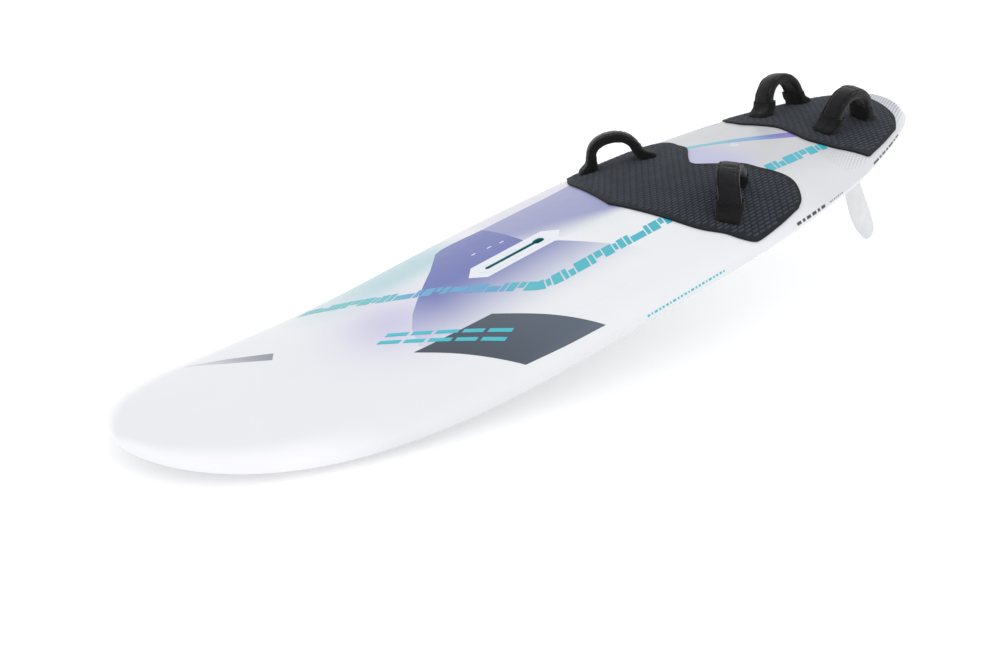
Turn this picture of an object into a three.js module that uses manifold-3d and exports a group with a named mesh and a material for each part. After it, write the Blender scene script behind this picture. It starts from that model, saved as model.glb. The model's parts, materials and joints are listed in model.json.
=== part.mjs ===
// A windsurf board: foam-cored sandwich hull, mast track, bolted fin, vent screw, two grip pads and
// four foot straps that lean about the line through their deck screws.
//
// The hull frame is x from the tail (0) to the nose, y to port, z up from the flat of the bottom,
// all in millimetres. The whole board stands pitched nose down, on its fin tip and its belly.
import * as THREE from 'three';
import { mergeVertices } from 'three/addons/utils/BufferGeometryUtils.js';
import Module from 'manifold-3d';

const wasm = await Module();
wasm.setup();

// ---- driving dimensions -------------------------------------------------------------------
const LENGTH = 2300;
const GAP = 0.3; // between pieces that touch
const SKIN = 5; // sandwich skin of the deck and the bottom
const NOSE_START = 1500; // where the outline begins to close towards the nose
const NOSE_EDGE = 30; // length over which the nose's edge is rounded
const TAIL_EDGE = 12; // the same at the tail
const RAIL_HEIGHT = 0.34; // height of the rail's widest line, as a share of the thickness
const ROCKER_START = 1481;
const NOSE_ROCKER = 168;
const PAD_THICKNESS = 5;

// half width and thickness along the board, before the nose is closed
const HALF_WIDTHS = [[0, 77], [60, 136], [150, 184], [300, 241], [500, 296], [750, 331],
  [1000, 342], [1250, 343], [1500, 336], [1750, 320], [1950, 301], [2100, 283], [LENGTH, 258]];
const THICKNESSES = [[0, 46], [60, 59.5], [300, 90], [600, 113.5], [900, 128.5], [1200, 133],
  [1500, 128.5], [1800, 111.5], [2050, 81.5], [2200, 54], [LENGTH, 22]];

const MAST = { x: 1340, length: 204, width: 40, height: 38, slot: 170, slotWidth: 10,
  channelWidth: 22, channelHeight: 12, lip: 9, entryLength: 30, entryWidth: 20 };
const MAST_BLOCK = { length: 300, width: 110 };
const FIN = { x: 182, headLength: 104, headWidth: 22, headHeight: 46, wall: 7, boltRadius: 3,
  bossRadius: 14, nutRadius: 5, nutHeight: 32, bladeThickness: 0.1 };
const FIN_BLOCK = { length: 190, width: 90 };
const VENT = { x: 592, y: -10, bodyRadius: 14, bodyHeight: 26, headRadius: 9.5, headHeight: 4,
  headSegments: 24, shankRadius: 4.5, shankLength: 15 };
const STRAP = { anchorSpacing: 176, legInset: 24, coverWidth: 62, coverThickness: 24,
  webbingWidth: 46, webbingThickness: 3, tabLength: 40, tabThickness: 3, leanClearanceDeg: 23,
  exponent: 2.3 };
const SCREW = { radius: 2.5, length: 25, headRadius: 6, headHeight: 4 };
const WASHER = { radius: 11, hole: 3, thickness: 1.5 };
const INSERT = { radius: 11, depth: 28, drop: 1.6 };
// each set of straps: middle between the anchors, angle of the anchor line to the centre line,
// height of the arch's centre line above the anchors, how far its top sits forward along them
// and how far its top has flopped inboard of them
const STRAP_SETS = {
  front: { x: 834, y: 200, turnDeg: 36, height: 78, forward: 8, inboard: 18 },
  rear: { x: 292, y: 109, turnDeg: 0, height: 86, forward: 4, inboard: 0 },
};

// pad outlines, port half from the front centre round to the rear centre; each inner list is one
// smooth run and the runs meet at corners
const FRONT_PAD = [
  [[1047, 0], [1012, 139], [984, 228], [945, 278]],
  [[945, 278], [927, 306], [906, 324], [882, 328], [801, 319], [724, 305]],
  [[724, 305], [692, 287], [660, 249], [648, 215], [653, 176], [667, 138]],
  [[667, 138], [679, 95], [718, 54], [752, 15], [757, 0]],
];
const REAR_PAD = [
  [[433, 0], [438, 30], [446, 70], [452, 115], [434, 180], [411, 212], [391, 237]],
  [[391, 237], [383, 245], [371, 247], [354, 242], [267, 217], [182, 187]],
  [[182, 187], [149, 164], [120, 137], [97, 95], [80, 45], [73, 0]],
];

// ---- hull surface -------------------------------------------------------------------------
// a smooth curve through [x, value] pairs that never overshoots them
function smoothThrough(pairs) {
  const slope = (i) => (pairs[i + 1][1] - pairs[i][1]) / (pairs[i + 1][0] - pairs[i][0]);
  const tangents = pairs.map((pair, i) => {
    if (i === 0) return slope(0);
    if (i === pairs.length - 1) return slope(i - 1);
    const [before, after] = [slope(i - 1), slope(i)];
    return before * after <= 0 ? 0 : (2 * before * after) / (before + after);
  });
  return (x) => {
    let i = 0;
    while (i < pairs.length - 2 && x > pairs[i + 1][0]) i += 1;
    const [[x0, y0], [x1, y1]] = [pairs[i], pairs[i + 1]];
    const span = x1 - x0;
    const s = (x - x0) / span;
    const rise = s * s * (3 - 2 * s);
    return y0 * (1 - rise) + y1 * rise
      + span * s * (1 - s) * ((1 - s) * tangents[i] - s * tangents[i + 1]);
  };
}

const bodyHalfWidth = smoothThrough(HALF_WIDTHS);
const bodyThickness = smoothThrough(THICKNESSES);

function halfWidth(x) {
  const s = Math.max(0, (x - NOSE_START) / (LENGTH - NOSE_START));
  return bodyHalfWidth(x) * Math.sqrt(1 - s ** 6);
}

function thickness(x) {
  const nose = Math.max(0, (x - LENGTH + NOSE_EDGE) / NOSE_EDGE);
  const tail = Math.max(0, 1 - x / TAIL_EDGE);
  return bodyThickness(x) * Math.sqrt(1 - nose ** 2) * (1 - 0.4 * tail ** 2);
}

function rocker(x) {
  const s = Math.max(0, (x - ROCKER_START) / (LENGTH - ROCKER_START));
  return NOSE_ROCKER * s ** 2.4;
}

const railHeight = (x) => rocker(x) + RAIL_HEIGHT * thickness(x);

// shape of the deck and of the bottom across the board, against u from centre line to rail
const deckDome = (u) => (1 - u ** 1.9) ** 0.606;
const bottomRise = (u) => 1 - Math.sqrt(1 - u ** 7);

function deckHeight(x, y) {
  const u = Math.min(1, Math.abs(y) / halfWidth(x));
  return railHeight(x) + (1 - RAIL_HEIGHT) * thickness(x) * deckDome(u);
}

function deckNormal(x, y) {
  const step = 1;
  const slopeX = (deckHeight(x + step, y) - deckHeight(x - step, y)) / (2 * step);
  const slopeY = (deckHeight(x, y + step) - deckHeight(x, y - step)) / (2 * step);
  return new THREE.Vector3(-slopeX, -slopeY, 1).normalize();
}

// ---- solids -------------------------------------------------------------------------------
function solidOf(geometry) {
  const bare = geometry.clone();
  bare.deleteAttribute('normal');
  bare.deleteAttribute('uv');
  const merged = mergeVertices(bare, 1e-4);
  return new wasm.Manifold(new wasm.Mesh({
    numProp: 3,
    vertProperties: new Float32Array(merged.attributes.position.array),
    triVerts: new Uint32Array(merged.index.array),
  }));
}

function geometryOf(solid) {
  const mesh = solid.getMesh();
  const geometry = new THREE.BufferGeometry();
  geometry.setAttribute('position', new THREE.BufferAttribute(mesh.vertProperties, 3));
  geometry.setIndex(new THREE.BufferAttribute(mesh.triVerts, 1));
  geometry.computeVertexNormals();
  return geometry;
}

// a closed solid through equal rings of points, with flat ends; the rings turn counter-clockwise
// as seen from the last ring
function loft(rings) {
  const count = rings[0].length;
  const positions = rings.flat().flatMap((point) => point.toArray());
  const index = [];
  for (let r = 0; r < rings.length - 1; r += 1) {
    for (let k = 0; k < count; k += 1) {
      const next = (k + 1) % count;
      const [a, b] = [r * count + k, r * count + next];
      const [c, d] = [a + count, b + count];
      index.push(a, b, d, a, d, c);
    }
  }
  const addEnd = (start, reversed) => {
    for (let k = 1; k < count - 1; k += 1) {
      const [b, c] = reversed ? [k + 1, k] : [k, k + 1];
      index.push(start, start + b, start + c);
    }
  };
  addEnd(0, true);
  addEnd((rings.length - 1) * count, false);
  const geometry = new THREE.BufferGeometry();
  geometry.setAttribute('position', new THREE.Float32BufferAttribute(positions, 3));
  geometry.setIndex(index);
  return geometry;
}

function placed(geometry, x, y, z) {
  return geometry.translate(x, y, z);
}

function boxSolid(length, width, height, x, y, z) {
  return solidOf(placed(new THREE.BoxGeometry(length, width, height), x, y, z));
}

// a bar with half-round ends, its length along x and its foot at z
function barSolid(length, width, height, x, y, z) {
  const radius = width / 2;
  const reach = length / 2 - radius;
  const shape = new THREE.Shape();
  shape.absarc(reach, 0, radius, -Math.PI / 2, Math.PI / 2);
  shape.absarc(-reach, 0, radius, Math.PI / 2, (3 * Math.PI) / 2);
  const options = { depth: height, bevelEnabled: false, curveSegments: 6 };
  return solidOf(placed(new THREE.ExtrudeGeometry(shape, options), x, y, z));
}

// a round solid about a vertical axis, from [radius, height] pairs
function turned(profile, segments = 12) {
  const points = profile.map(([radius, height]) => new THREE.Vector2(radius, height));
  return solidOf(new THREE.LatheGeometry(points, segments).rotateX(Math.PI / 2));
}

function rod(radius, low, high, segments = 12) {
  return turned([[0, low], [radius, low], [radius, high], [0, high]], segments);
}

const ringStep = (k, count, power) => 1 - (1 - k / count) ** power;
const DECK_STEPS = 8;
const BOTTOM_STEPS = 4;

// one cross-section of the hull
function hullRing(x, inset, lift) {
  const width = halfWidth(x) - inset;
  const low = rocker(x) + inset;
  const rail = railHeight(x);
  const high = rocker(x) + thickness(x) - inset;
  const half = [];
  for (let k = 0; k < DECK_STEPS; k += 1) {
    const u = ringStep(k, DECK_STEPS, 2.2);
    half.push([u * width, rail + lift + (high - rail) * deckDome(u)]);
  }
  half.push([width, rail]);
  for (let k = BOTTOM_STEPS - 1; k >= 0; k -= 1) {
    const u = ringStep(k, BOTTOM_STEPS, 2.6);
    half.push([u * width, low + (rail - low) * bottomRise(u)]);
  }
  const port = half.map(([y, z]) => new THREE.Vector3(x, y, z));
  const starboard = half.slice(1, -1).reverse().map(([y, z]) => new THREE.Vector3(x, -y, z));
  return [...port, ...starboard].reverse();
}

const STATIONS = [0, 8, 45, 110, 200, 320, 480, 680, 900, 1150, 1400, 1600, 1760, 1900, 2020,
  2120, 2200, 2250, 2280, 2296];

// the hull moved in by inset all round, or with its deck raised by lift
function hullSolid(inset = 0, lift = 0) {
  const stations = STATIONS.filter((x) => x > 2 * inset && x < LENGTH - 2.2 * inset);
  const rings = stations.map((x) => hullRing(x, inset, lift));
  const beyondSkin = Math.max(0, inset - SKIN);
  rings.at(-1).forEach((point) => point.setX(stations.at(-1) - beyondSkin));
  const tail = hullRing(inset > 0 ? SKIN : 0, inset, lift);
  tail.forEach((point) => point.setX(inset));
  return solidOf(loft([tail, ...rings]));
}

// everything above (or below) the rail's widest line
function seamSolid(above) {
  const far = above ? 400 : -400;
  const gap = above ? 0 : -GAP;
  const xs = [-20, ...STATIONS, LENGTH + 20];
  const rings = xs.map((x) => {
    const z = railHeight(Math.min(Math.max(x, 0), STATIONS.at(-1))) + gap;
    const corners = [[-400, z], [400, z], [400, z + far], [-400, z + far]];
    const ring = corners.map(([y, height]) => new THREE.Vector3(x, y, height));
    return above ? ring : ring.reverse();
  });
  return solidOf(loft(rings));
}

function padOutline(runs) {
  const half = runs.flatMap((run, i) => {
    const curve = new THREE.SplineCurve(run.map(([x, y]) => new THREE.Vector2(x, y)));
    const points = curve.getPoints(3 * (run.length - 1));
    return i === 0 ? points : points.slice(1);
  });
  const mirrored = half.slice(1, -1).reverse().map((point) => new THREE.Vector2(point.x, -point.y));
  return new THREE.Shape([...half, ...mirrored]);
}

function padSolid(runs) {
  const prism = new THREE.ExtrudeGeometry(padOutline(runs), { depth: 200, bevelEnabled: false });
  const layer = solidOf(prism).intersect(hullSolid(0, GAP + PAD_THICKNESS));
  return layer.subtract(hullSolid(0, GAP)).subtract(boxSolid(LENGTH, 800, 30, LENGTH / 2, 0, 0));
}

// ---- foot straps --------------------------------------------------------------------------
// the frame of one strap: x along its anchor line towards the nose, z along the deck's normal,
// origin half way between the anchors on the pad's top
function strapFrame(set, side) {
  const turn = THREE.MathUtils.degToRad(set.turnDeg);
  const along = new THREE.Vector2(Math.cos(turn), side * Math.sin(turn));
  const half = STRAP.anchorSpacing / 2;
  const ends = [-half, half].map((reach) => {
    const x = set.x + reach * along.x;
    const y = side * set.y + reach * along.y;
    return new THREE.Vector3(x, y, deckHeight(x, y) + GAP + PAD_THICKNESS);
  });
  const axisX = ends[1].clone().sub(ends[0]).normalize();
  const normal = deckNormal(set.x, side * set.y);
  const axisY = new THREE.Vector3().crossVectors(normal, axisX).normalize();
  const axisZ = new THREE.Vector3().crossVectors(axisX, axisY);
  const origin = ends[0].clone().add(ends[1]).multiplyScalar(0.5).addScaledVector(axisZ, 0.6);
  return new THREE.Matrix4().makeBasis(axisX, axisY, axisZ).setPosition(origin);
}

// centre line of the arch, from the rear leg over the top to the fore leg
function archPoint(set, s) {
  const angle = Math.PI * (1 - s);
  const reach = STRAP.anchorSpacing / 2 - STRAP.legInset;
  const bend = (value) => Math.sign(value) * Math.abs(value) ** (2 / STRAP.exponent);
  const high = bend(Math.sin(angle));
  return new THREE.Vector2(reach * bend(Math.cos(angle)) + set.forward * high, set.height * high);
}

// a band swept along the arch: section points are [across the band, out of the arch]
function archBand(set, side, section, footDrop) {
  const steps = 14;
  const rings = [];
  for (let i = 0; i <= steps; i += 1) {
    const s = THREE.MathUtils.clamp(i / steps, 0, 1);
    const point = archPoint(set, s);
    const ahead = archPoint(set, Math.min(1, s + 0.01));
    const behind = archPoint(set, Math.max(0, s - 0.01));
    const along = ahead.sub(behind).normalize();
    const atFoot = i === 0 || i === steps;
    const drop = atFoot ? footDrop : 0;
    const out = atFoot ? new THREE.Vector2(i === 0 ? -1 : 1, 0) : new THREE.Vector2(-along.y, along.x);
    const flop = -side * set.inboard * (point.y / set.height) ** 2;
    rings.push(section.map(([across, outward]) => new THREE.Vector3(
      point.x + out.x * outward, across + flop, point.y + out.y * outward - drop)));
  }
  return solidOf(loft(rings));
}

function roundedBand(width, depth) {
  const section = [];
  const corner = depth * 0.42;
  for (const [sideY, sideZ, start] of [[1, 1, 0], [-1, 1, 90], [-1, -1, 180], [1, -1, 270]]) {
    for (const turn of [20, 70]) {
      const angle = THREE.MathUtils.degToRad(start + turn);
      section.push([sideY * (width / 2 - corner) + corner * Math.cos(angle),
        sideZ * (depth / 2 - corner) + corner * Math.sin(angle)]);
    }
  }
  return section;
}

function flatBand(width, depth) {
  return [[width / 2, depth / 2], [-width / 2, depth / 2], [-width / 2, -depth / 2],
    [width / 2, -depth / 2]];
}

// everything below a V that opens upwards, so that a leaning leg stays clear of the pad
function footCutter(height) {
  const reach = 60;
  const rise = reach * Math.tan(THREE.MathUtils.degToRad(STRAP.leanClearanceDeg));
  const shape = new THREE.Shape();
  shape.moveTo(-reach, height + rise);
  shape.lineTo(0, height);
  shape.lineTo(reach, height + rise);
  shape.lineTo(reach, -80);
  shape.lineTo(-reach, -80);
  const prism = new THREE.ExtrudeGeometry(shape, { depth: 400, bevelEnabled: false });
  prism.rotateX(Math.PI / 2).rotateZ(Math.PI / 2);
  return solidOf(placed(prism, -200, 0, 0));
}

function strapSolids(set, side) {
  const { webbingWidth, webbingThickness, coverWidth, coverThickness, tabThickness } = STRAP;
  const webbing = archBand(set, side, flatBand(webbingWidth, webbingThickness), 20)
    .subtract(footCutter(tabThickness + 0.5));
  const tunnel = archBand(set, side, flatBand(webbingWidth + 1, webbingThickness + 1), 20);
  const cover = archBand(set, side, roundedBand(coverWidth, coverThickness), 20)
    .subtract(tunnel).subtract(footCutter(tabThickness + 4));
  return { webbing, cover };
}

// where the webbing's end lies under its screw, in the strap's frame; end is +1 fore, -1 aft
function tabSolid(end) {
  const { tabLength, tabThickness, webbingWidth, anchorSpacing } = STRAP;
  const middle = end * (anchorSpacing / 2 - 5);
  const tab = boxSolid(tabLength, webbingWidth, tabThickness, middle, 0, tabThickness / 2);
  const hole = rod(SCREW.radius + GAP, -5, 10, 8);
  return tab.subtract(hole.translate([(end * anchorSpacing) / 2, 0, 0]));
}

function tabSeat(end) {
  const { tabLength, webbingWidth, anchorSpacing } = STRAP;
  const middle = end * (anchorSpacing / 2 - 5);
  return boxSolid(tabLength + 2, webbingWidth + 2, 12, middle, 0, 6 - GAP);
}

// ---- fin ----------------------------------------------------------------------------------
const FIN_LEADING = [[226, -1.3], [190, -110], [151, -220], [127, -292], [99, -346], [70, -385]];
const FIN_TRAILING = [[140, -1.3], [112, -95], [76, -199], [41, -293], [20, -352], [11, -388]];
const FIN_TIP = [[62, 16, -396], [52, 22, -404], [42, 28, -408]];

function finBlade() {
  const leading = new THREE.SplineCurve(FIN_LEADING.map(([x, z]) => new THREE.Vector2(x, z)));
  const trailing = new THREE.SplineCurve(FIN_TRAILING.map(([x, z]) => new THREE.Vector2(x, z)));
  const chords = [];
  const steps = 11;
  for (let i = 0; i <= steps; i += 1) {
    const [front, back] = [leading.getPoint(i / steps), trailing.getPoint(i / steps)];
    chords.push([front.x, back.x, (front.y + back.y) / 2]);
  }
  chords[0][2] = FIN_LEADING[0][1];
  chords.push(...FIN_TIP);
  const sides = 8;
  const rings = chords.map(([front, back, z]) => {
    const ring = [];
    for (let k = 0; k < 2 * sides; k += 1) {
      const angle = (Math.PI * k) / sides;
      const s = (1 - Math.cos(angle)) / 2;
      const foil = 1.9 * FIN.bladeThickness * (front - back) * Math.sqrt(s) * (1 - s) + 0.8 * (1 - s) * s;
      const edge = k === 0 ? 0 : foil + (k === sides ? 0.4 : 0);
      ring.push(new THREE.Vector3(front - s * (front - back), k < sides ? edge : -edge, z));
    }
    return ring.reverse();
  });
  return solidOf(loft(rings));
}

function finParts() {
  const { x, headLength, headWidth, headHeight, wall, boltRadius, bossRadius, nutRadius } = FIN;
  const deck = deckHeight(x, 0);
  const head = barSolid(headLength, headWidth, headHeight, x, 0, -1);
  const cavity = barSolid(headLength + 2 * GAP, headWidth + 2 * GAP, headHeight + GAP, x, 0, -1);
  const block = barSolid(headLength + 2 * wall, headWidth + 2 * wall, headHeight + wall, x, 0, 0.2);
  const boss = rod(bossRadius, headHeight, deck).translate([x, 0, 0]);
  const shankHole = rod(boltRadius + GAP, -10, deck + 5).translate([x, 0, 0]);
  const counterbore = rod(8.5, deck - 9, deck + 5).translate([x, 0, 0]);
  const box = block.add(boss).subtract(cavity).subtract(shankHole).subtract(counterbore);

  const nut = solidOf(placed(new THREE.CylinderGeometry(nutRadius, nutRadius, headWidth - 6, 12),
    x, 0, FIN.nutHeight));
  const nutHole = solidOf(placed(
    new THREE.CylinderGeometry(nutRadius + GAP, nutRadius + GAP, headWidth + 6, 12),
    x, 0, FIN.nutHeight));
  const headShankHole = rod(boltRadius + GAP, FIN.nutHeight - 14, headHeight + 5)
    .translate([x, 0, 0]);
  const boltSeat = deck - 9;
  const washer = turned([[boltRadius + GAP, boltSeat + GAP], [8, boltSeat + GAP],
    [8, boltSeat + 1.6], [boltRadius + GAP, boltSeat + 1.6], [boltRadius + GAP, boltSeat + GAP]]);
  const socket = rod(2.2, boltSeat + 4, boltSeat + 10, 6);
  const bolt = rod(boltRadius, FIN.nutHeight - 10, boltSeat + 2.5)
    .add(rod(6, boltSeat + 2, boltSeat + 7)).subtract(socket).translate([x, 0, 0]);
  return {
    fin_box: box,
    fin_head: head.subtract(nutHole).subtract(headShankHole),
    fin_barrel_nut: nut.subtract(shankHole),
    fin_bolt_washer: washer.translate([x, 0, 0]),
    fin_bolt: bolt,
    fin_blade: finBlade(),
  };
}

// ---- mast track and vent ------------------------------------------------------------------
// the frame of a fitting let into the deck: origin on the deck, z along its normal
function deckFrame(x, y) {
  const normal = deckNormal(x, y);
  const across = new THREE.Vector3(0, 1, 0);
  const along = new THREE.Vector3().crossVectors(across, normal).normalize();
  const frame = new THREE.Matrix4().makeBasis(along, across.crossVectors(normal, along), normal);
  return frame.setPosition(x, y, deckHeight(x, y)).elements;
}

function mastTrackBox() {
  const { length, width, height, slot, slotWidth, lip, entryLength, entryWidth } = MAST;
  const { channelWidth, channelHeight } = MAST;
  const body = barSolid(length, width, height, 0, 0, -height);
  const slotCut = barSolid(slot, slotWidth, lip + 2, 0, 0, -lip - 1);
  const channel = boxSolid(slot, channelWidth, channelHeight, 0, 0, -lip - channelHeight / 2);
  const entry = barSolid(entryLength, entryWidth, lip + 2, (entryLength - slot) / 2, 0, -lip - 1);
  return body.subtract(slotCut).subtract(channel).subtract(entry);
}

function mastPocket() {
  return barSolid(MAST.length + 2 * GAP, MAST.width + 2 * GAP, MAST.height + 40, 0, 0,
    -MAST.height - GAP);
}

function ventParts() {
  const { bodyRadius, bodyHeight, headRadius, headHeight, shankRadius, shankLength } = VENT;
  const { headSegments } = VENT;
  const top = -0.3;
  const seat = top - headHeight - 1.4;
  const body = rod(bodyRadius, top - bodyHeight, top)
    .subtract(rod(headRadius + GAP, seat, top + 5, headSegments))
    .subtract(rod(shankRadius + GAP, seat - shankLength - 3, seat + 1))
    .subtract(rod(1.5, top - bodyHeight - 5, seat, 8));
  const slot = boxSolid(14, 2.4, 4, 0, 0, top + 0.6);
  const screw = rod(shankRadius, seat - shankLength + 4, top - 3)
    .add(rod(headRadius, top - headHeight, top - 0.2, headSegments)).subtract(slot);
  const inner = shankRadius + GAP;
  const seal = turned([[inner, seat + 0.2], [inner + 2, seat + 0.2], [inner + 2, seat + 1.2],
    [inner, seat + 1.2], [inner, seat + 0.2]]);
  return {
    vent_body: body,
    vent_screw: screw,
    vent_seal: seal,
  };
}

// ---- assembly -----------------------------------------------------------------------------
const materials = {
  hull: new THREE.MeshStandardMaterial({ color: 0xe9ebef, roughness: 0.35, metalness: 0 }),
  foam: new THREE.MeshStandardMaterial({ color: 0xf4f4f0, roughness: 0.9, metalness: 0 }),
  denseFoam: new THREE.MeshStandardMaterial({ color: 0xd9c9a0, roughness: 0.9, metalness: 0 }),
  pad: new THREE.MeshStandardMaterial({ color: 0x2b2e35, roughness: 0.9, metalness: 0 }),
  cover: new THREE.MeshStandardMaterial({ color: 0x17181b, roughness: 0.75, metalness: 0 }),
  webbing: new THREE.MeshStandardMaterial({ color: 0x101113, roughness: 0.8, metalness: 0 }),
  fin: new THREE.MeshStandardMaterial({ color: 0xe2e5e8, roughness: 0.3, metalness: 0 }),
  plastic: new THREE.MeshStandardMaterial({ color: 0x202326, roughness: 0.5, metalness: 0 }),
  palePlastic: new THREE.MeshStandardMaterial({ color: 0xdcdfe4, roughness: 0.5, metalness: 0 }),
  teal: new THREE.MeshStandardMaterial({ color: 0x1c7f88, roughness: 0.45, metalness: 0 }),
  rubber: new THREE.MeshStandardMaterial({ color: 0x0c0c0d, roughness: 0.8, metalness: 0 }),
  steel: new THREE.MeshStandardMaterial({ color: 0xb4b7ba, roughness: 0.35, metalness: 1 }),
};

const hull = new THREE.Group();

function addPiece(name, solid, material) {
  const mesh = new THREE.Mesh(geometryOf(solid), materials[material]);
  mesh.name = name;
  hull.add(mesh);
  return mesh;
}

const skin = hullSolid().subtract(hullSolid(SKIN));
let deckShell = skin.intersect(seamSolid(true));
let bottomShell = skin.intersect(seamSolid(false));
let core = hullSolid(SKIN + 2 * GAP);
let frontPad = padSolid(FRONT_PAD);
let rearPad = padSolid(REAR_PAD);

// the mast track box and the block that carries it
const mastBlockBox = (grow) => boxSolid(MAST_BLOCK.length + grow, MAST_BLOCK.width + grow, 300,
  MAST.x, 0, 100);
const mastFrame = deckFrame(MAST.x, 0);
const mastHole = mastPocket().transform(mastFrame);
const mastBlock = core.intersect(mastBlockBox(-2 * GAP)).subtract(mastHole);
core = core.subtract(mastBlockBox(0));
deckShell = deckShell.subtract(mastHole);
addPiece('mast_track_box', mastTrackBox().transform(mastFrame), 'teal');

// the fin box, its block and the fin bolted into it
const fin = finParts();
const finBlockBox = (grow) => boxSolid(FIN_BLOCK.length + grow, FIN_BLOCK.width + grow, 300,
  FIN.x, 0, 100);
const finPocket = barSolid(FIN.headLength + 2 * FIN.wall + 2 * GAP,
  FIN.headWidth + 2 * FIN.wall + 2 * GAP, FIN.headHeight + FIN.wall + GAP + 20, FIN.x, 0, -20)
  .add(rod(FIN.bossRadius + GAP, 0, 150).translate([FIN.x, 0, 0]));
const finBlock = core.intersect(finBlockBox(-2 * GAP)).subtract(finPocket);
core = core.subtract(finBlockBox(0));
bottomShell = bottomShell.subtract(finPocket);
deckShell = deckShell.subtract(finPocket);
rearPad = rearPad.subtract(rod(FIN.bossRadius + 1, 0, 200).translate([FIN.x, 0, 0]));
const finMaterials = { fin_box: 'plastic', fin_head: 'plastic', fin_blade: 'fin' };
for (const [name, solid] of Object.entries(fin)) {
  addPiece(name, solid, finMaterials[name] ?? 'steel');
}

// the vent
const ventFrame = deckFrame(VENT.x, VENT.y);
const ventMaterials = { vent_body: 'palePlastic', vent_screw: 'palePlastic', vent_seal: 'rubber' };
for (const [name, solid] of Object.entries(ventParts())) {
  addPiece(name, solid.transform(ventFrame), ventMaterials[name]);
}
const ventPocket = rod(VENT.bodyRadius + GAP, -VENT.bodyHeight - 2 * GAP, 20).transform(ventFrame);
deckShell = deckShell.subtract(ventPocket);
core = core.subtract(ventPocket);

// the straps, with their screws, washers and the inserts sunk in the deck
const insertTop = -(PAD_THICKNESS + GAP + INSERT.drop);
const screwRoot = STRAP.tabThickness + WASHER.thickness + 2 * GAP;
for (const [setName, set] of Object.entries(STRAP_SETS)) {
  for (const [sideName, side] of [['port', 1], ['starboard', -1]]) {
    const solids = strapSolids(set, side);
    const frame = strapFrame(set, side);
    const inHull = (solid) => solid.transform(frame.elements);
    const label = `${setName}_${sideName}`;
    addPiece(`${label}_strap_cover`, inHull(solids.cover), 'cover');
    addPiece(`${label}_strap_webbing`, inHull(solids.webbing), 'webbing');
    for (const [endName, end] of [['fore', 1], ['aft', -1]]) {
      const at = [(end * STRAP.anchorSpacing) / 2, 0, 0];
      const washer = turned([[WASHER.hole, STRAP.tabThickness + GAP],
        [WASHER.radius, STRAP.tabThickness + GAP],
        [WASHER.radius, STRAP.tabThickness + GAP + WASHER.thickness],
        [WASHER.hole, STRAP.tabThickness + GAP + WASHER.thickness],
        [WASHER.hole, STRAP.tabThickness + GAP]]);
      const recess = rod(2.6, screwRoot + 2, screwRoot + 8, 6);
      const screw = rod(SCREW.radius, screwRoot + 1 - SCREW.length - 8, screwRoot + 1, 8)
        .add(rod(SCREW.headRadius, screwRoot, screwRoot + SCREW.headHeight)).subtract(recess);
      const insert = rod(INSERT.radius, insertTop - INSERT.depth, insertTop)
        .subtract(rod(SCREW.radius + GAP, insertTop - INSERT.depth + 2, 20, 8));
      const pocket = rod(INSERT.radius + GAP, insertTop - INSERT.depth - GAP, -GAP);
      addPiece(`${label}_${endName}_tab`, inHull(tabSolid(end)), 'webbing');
      addPiece(`${label}_${endName}_washer`, inHull(washer.translate(at)), 'steel');
      addPiece(`${label}_${endName}_screw`, inHull(screw.translate(at)), 'steel');
      addPiece(`${label}_${endName}_insert`, inHull(insert.translate(at)), 'plastic');
      const hullPocket = inHull(pocket.translate(at));
      deckShell = deckShell.subtract(hullPocket);
      core = core.subtract(hullPocket);
      const padCut = hullPocket.add(inHull(tabSeat(end)));
      if (setName === 'front') frontPad = frontPad.subtract(padCut);
      else rearPad = rearPad.subtract(padCut);
    }
  }
}

addPiece('foam_core', core, 'foam');
addPiece('mast_block', mastBlock, 'denseFoam');
addPiece('fin_block', finBlock, 'denseFoam');
addPiece('deck_shell', deckShell, 'hull');
addPiece('bottom_shell', bottomShell, 'hull');
addPiece('front_pad', frontPad, 'pad');
addPiece('rear_pad', rearPad, 'pad');

// ---- resting attitude ---------------------------------------------------------------------
// lowest point of a mesh when the board is pitched nose down by the given angle
function lowest(mesh, pitch) {
  const points = mesh.geometry.attributes.position;
  let low = Infinity;
  for (let i = 0; i < points.count; i += 1) {
    low = Math.min(low, points.getZ(i) * Math.cos(pitch) - points.getX(i) * Math.sin(pitch));
  }
  return low;
}

// the pitch at which the fin tip and the belly touch the ground together
function restingPitch(blade, bottom) {
  let [small, large] = [0.1, 0.4];
  for (let i = 0; i < 40; i += 1) {
    const middle = (small + large) / 2;
    if (lowest(blade, middle) < lowest(bottom, middle)) small = middle;
    else large = middle;
  }
  return (small + large) / 2;
}

const blade = hull.getObjectByName('fin_blade');
const bottom = hull.getObjectByName('bottom_shell');
hull.rotation.y = restingPitch(blade, bottom);
hull.position.z = -lowest(blade, hull.rotation.y);

const board = new THREE.Group();
board.add(hull);
board.updateMatrixWorld(true);

// the origin is the middle of the bounding box's base
const bounds = new THREE.Box3().setFromObject(board, true);
const centre = bounds.getCenter(new THREE.Vector3());
hull.position.x -= centre.x;
hull.position.y -= centre.y;
board.updateMatrixWorld(true);

export default board;
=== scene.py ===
import json
import math

import bmesh
import bpy
import numpy as np
from mathutils import Matrix, Vector
from mathutils.geometry import delaunay_2d_cdt


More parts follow.
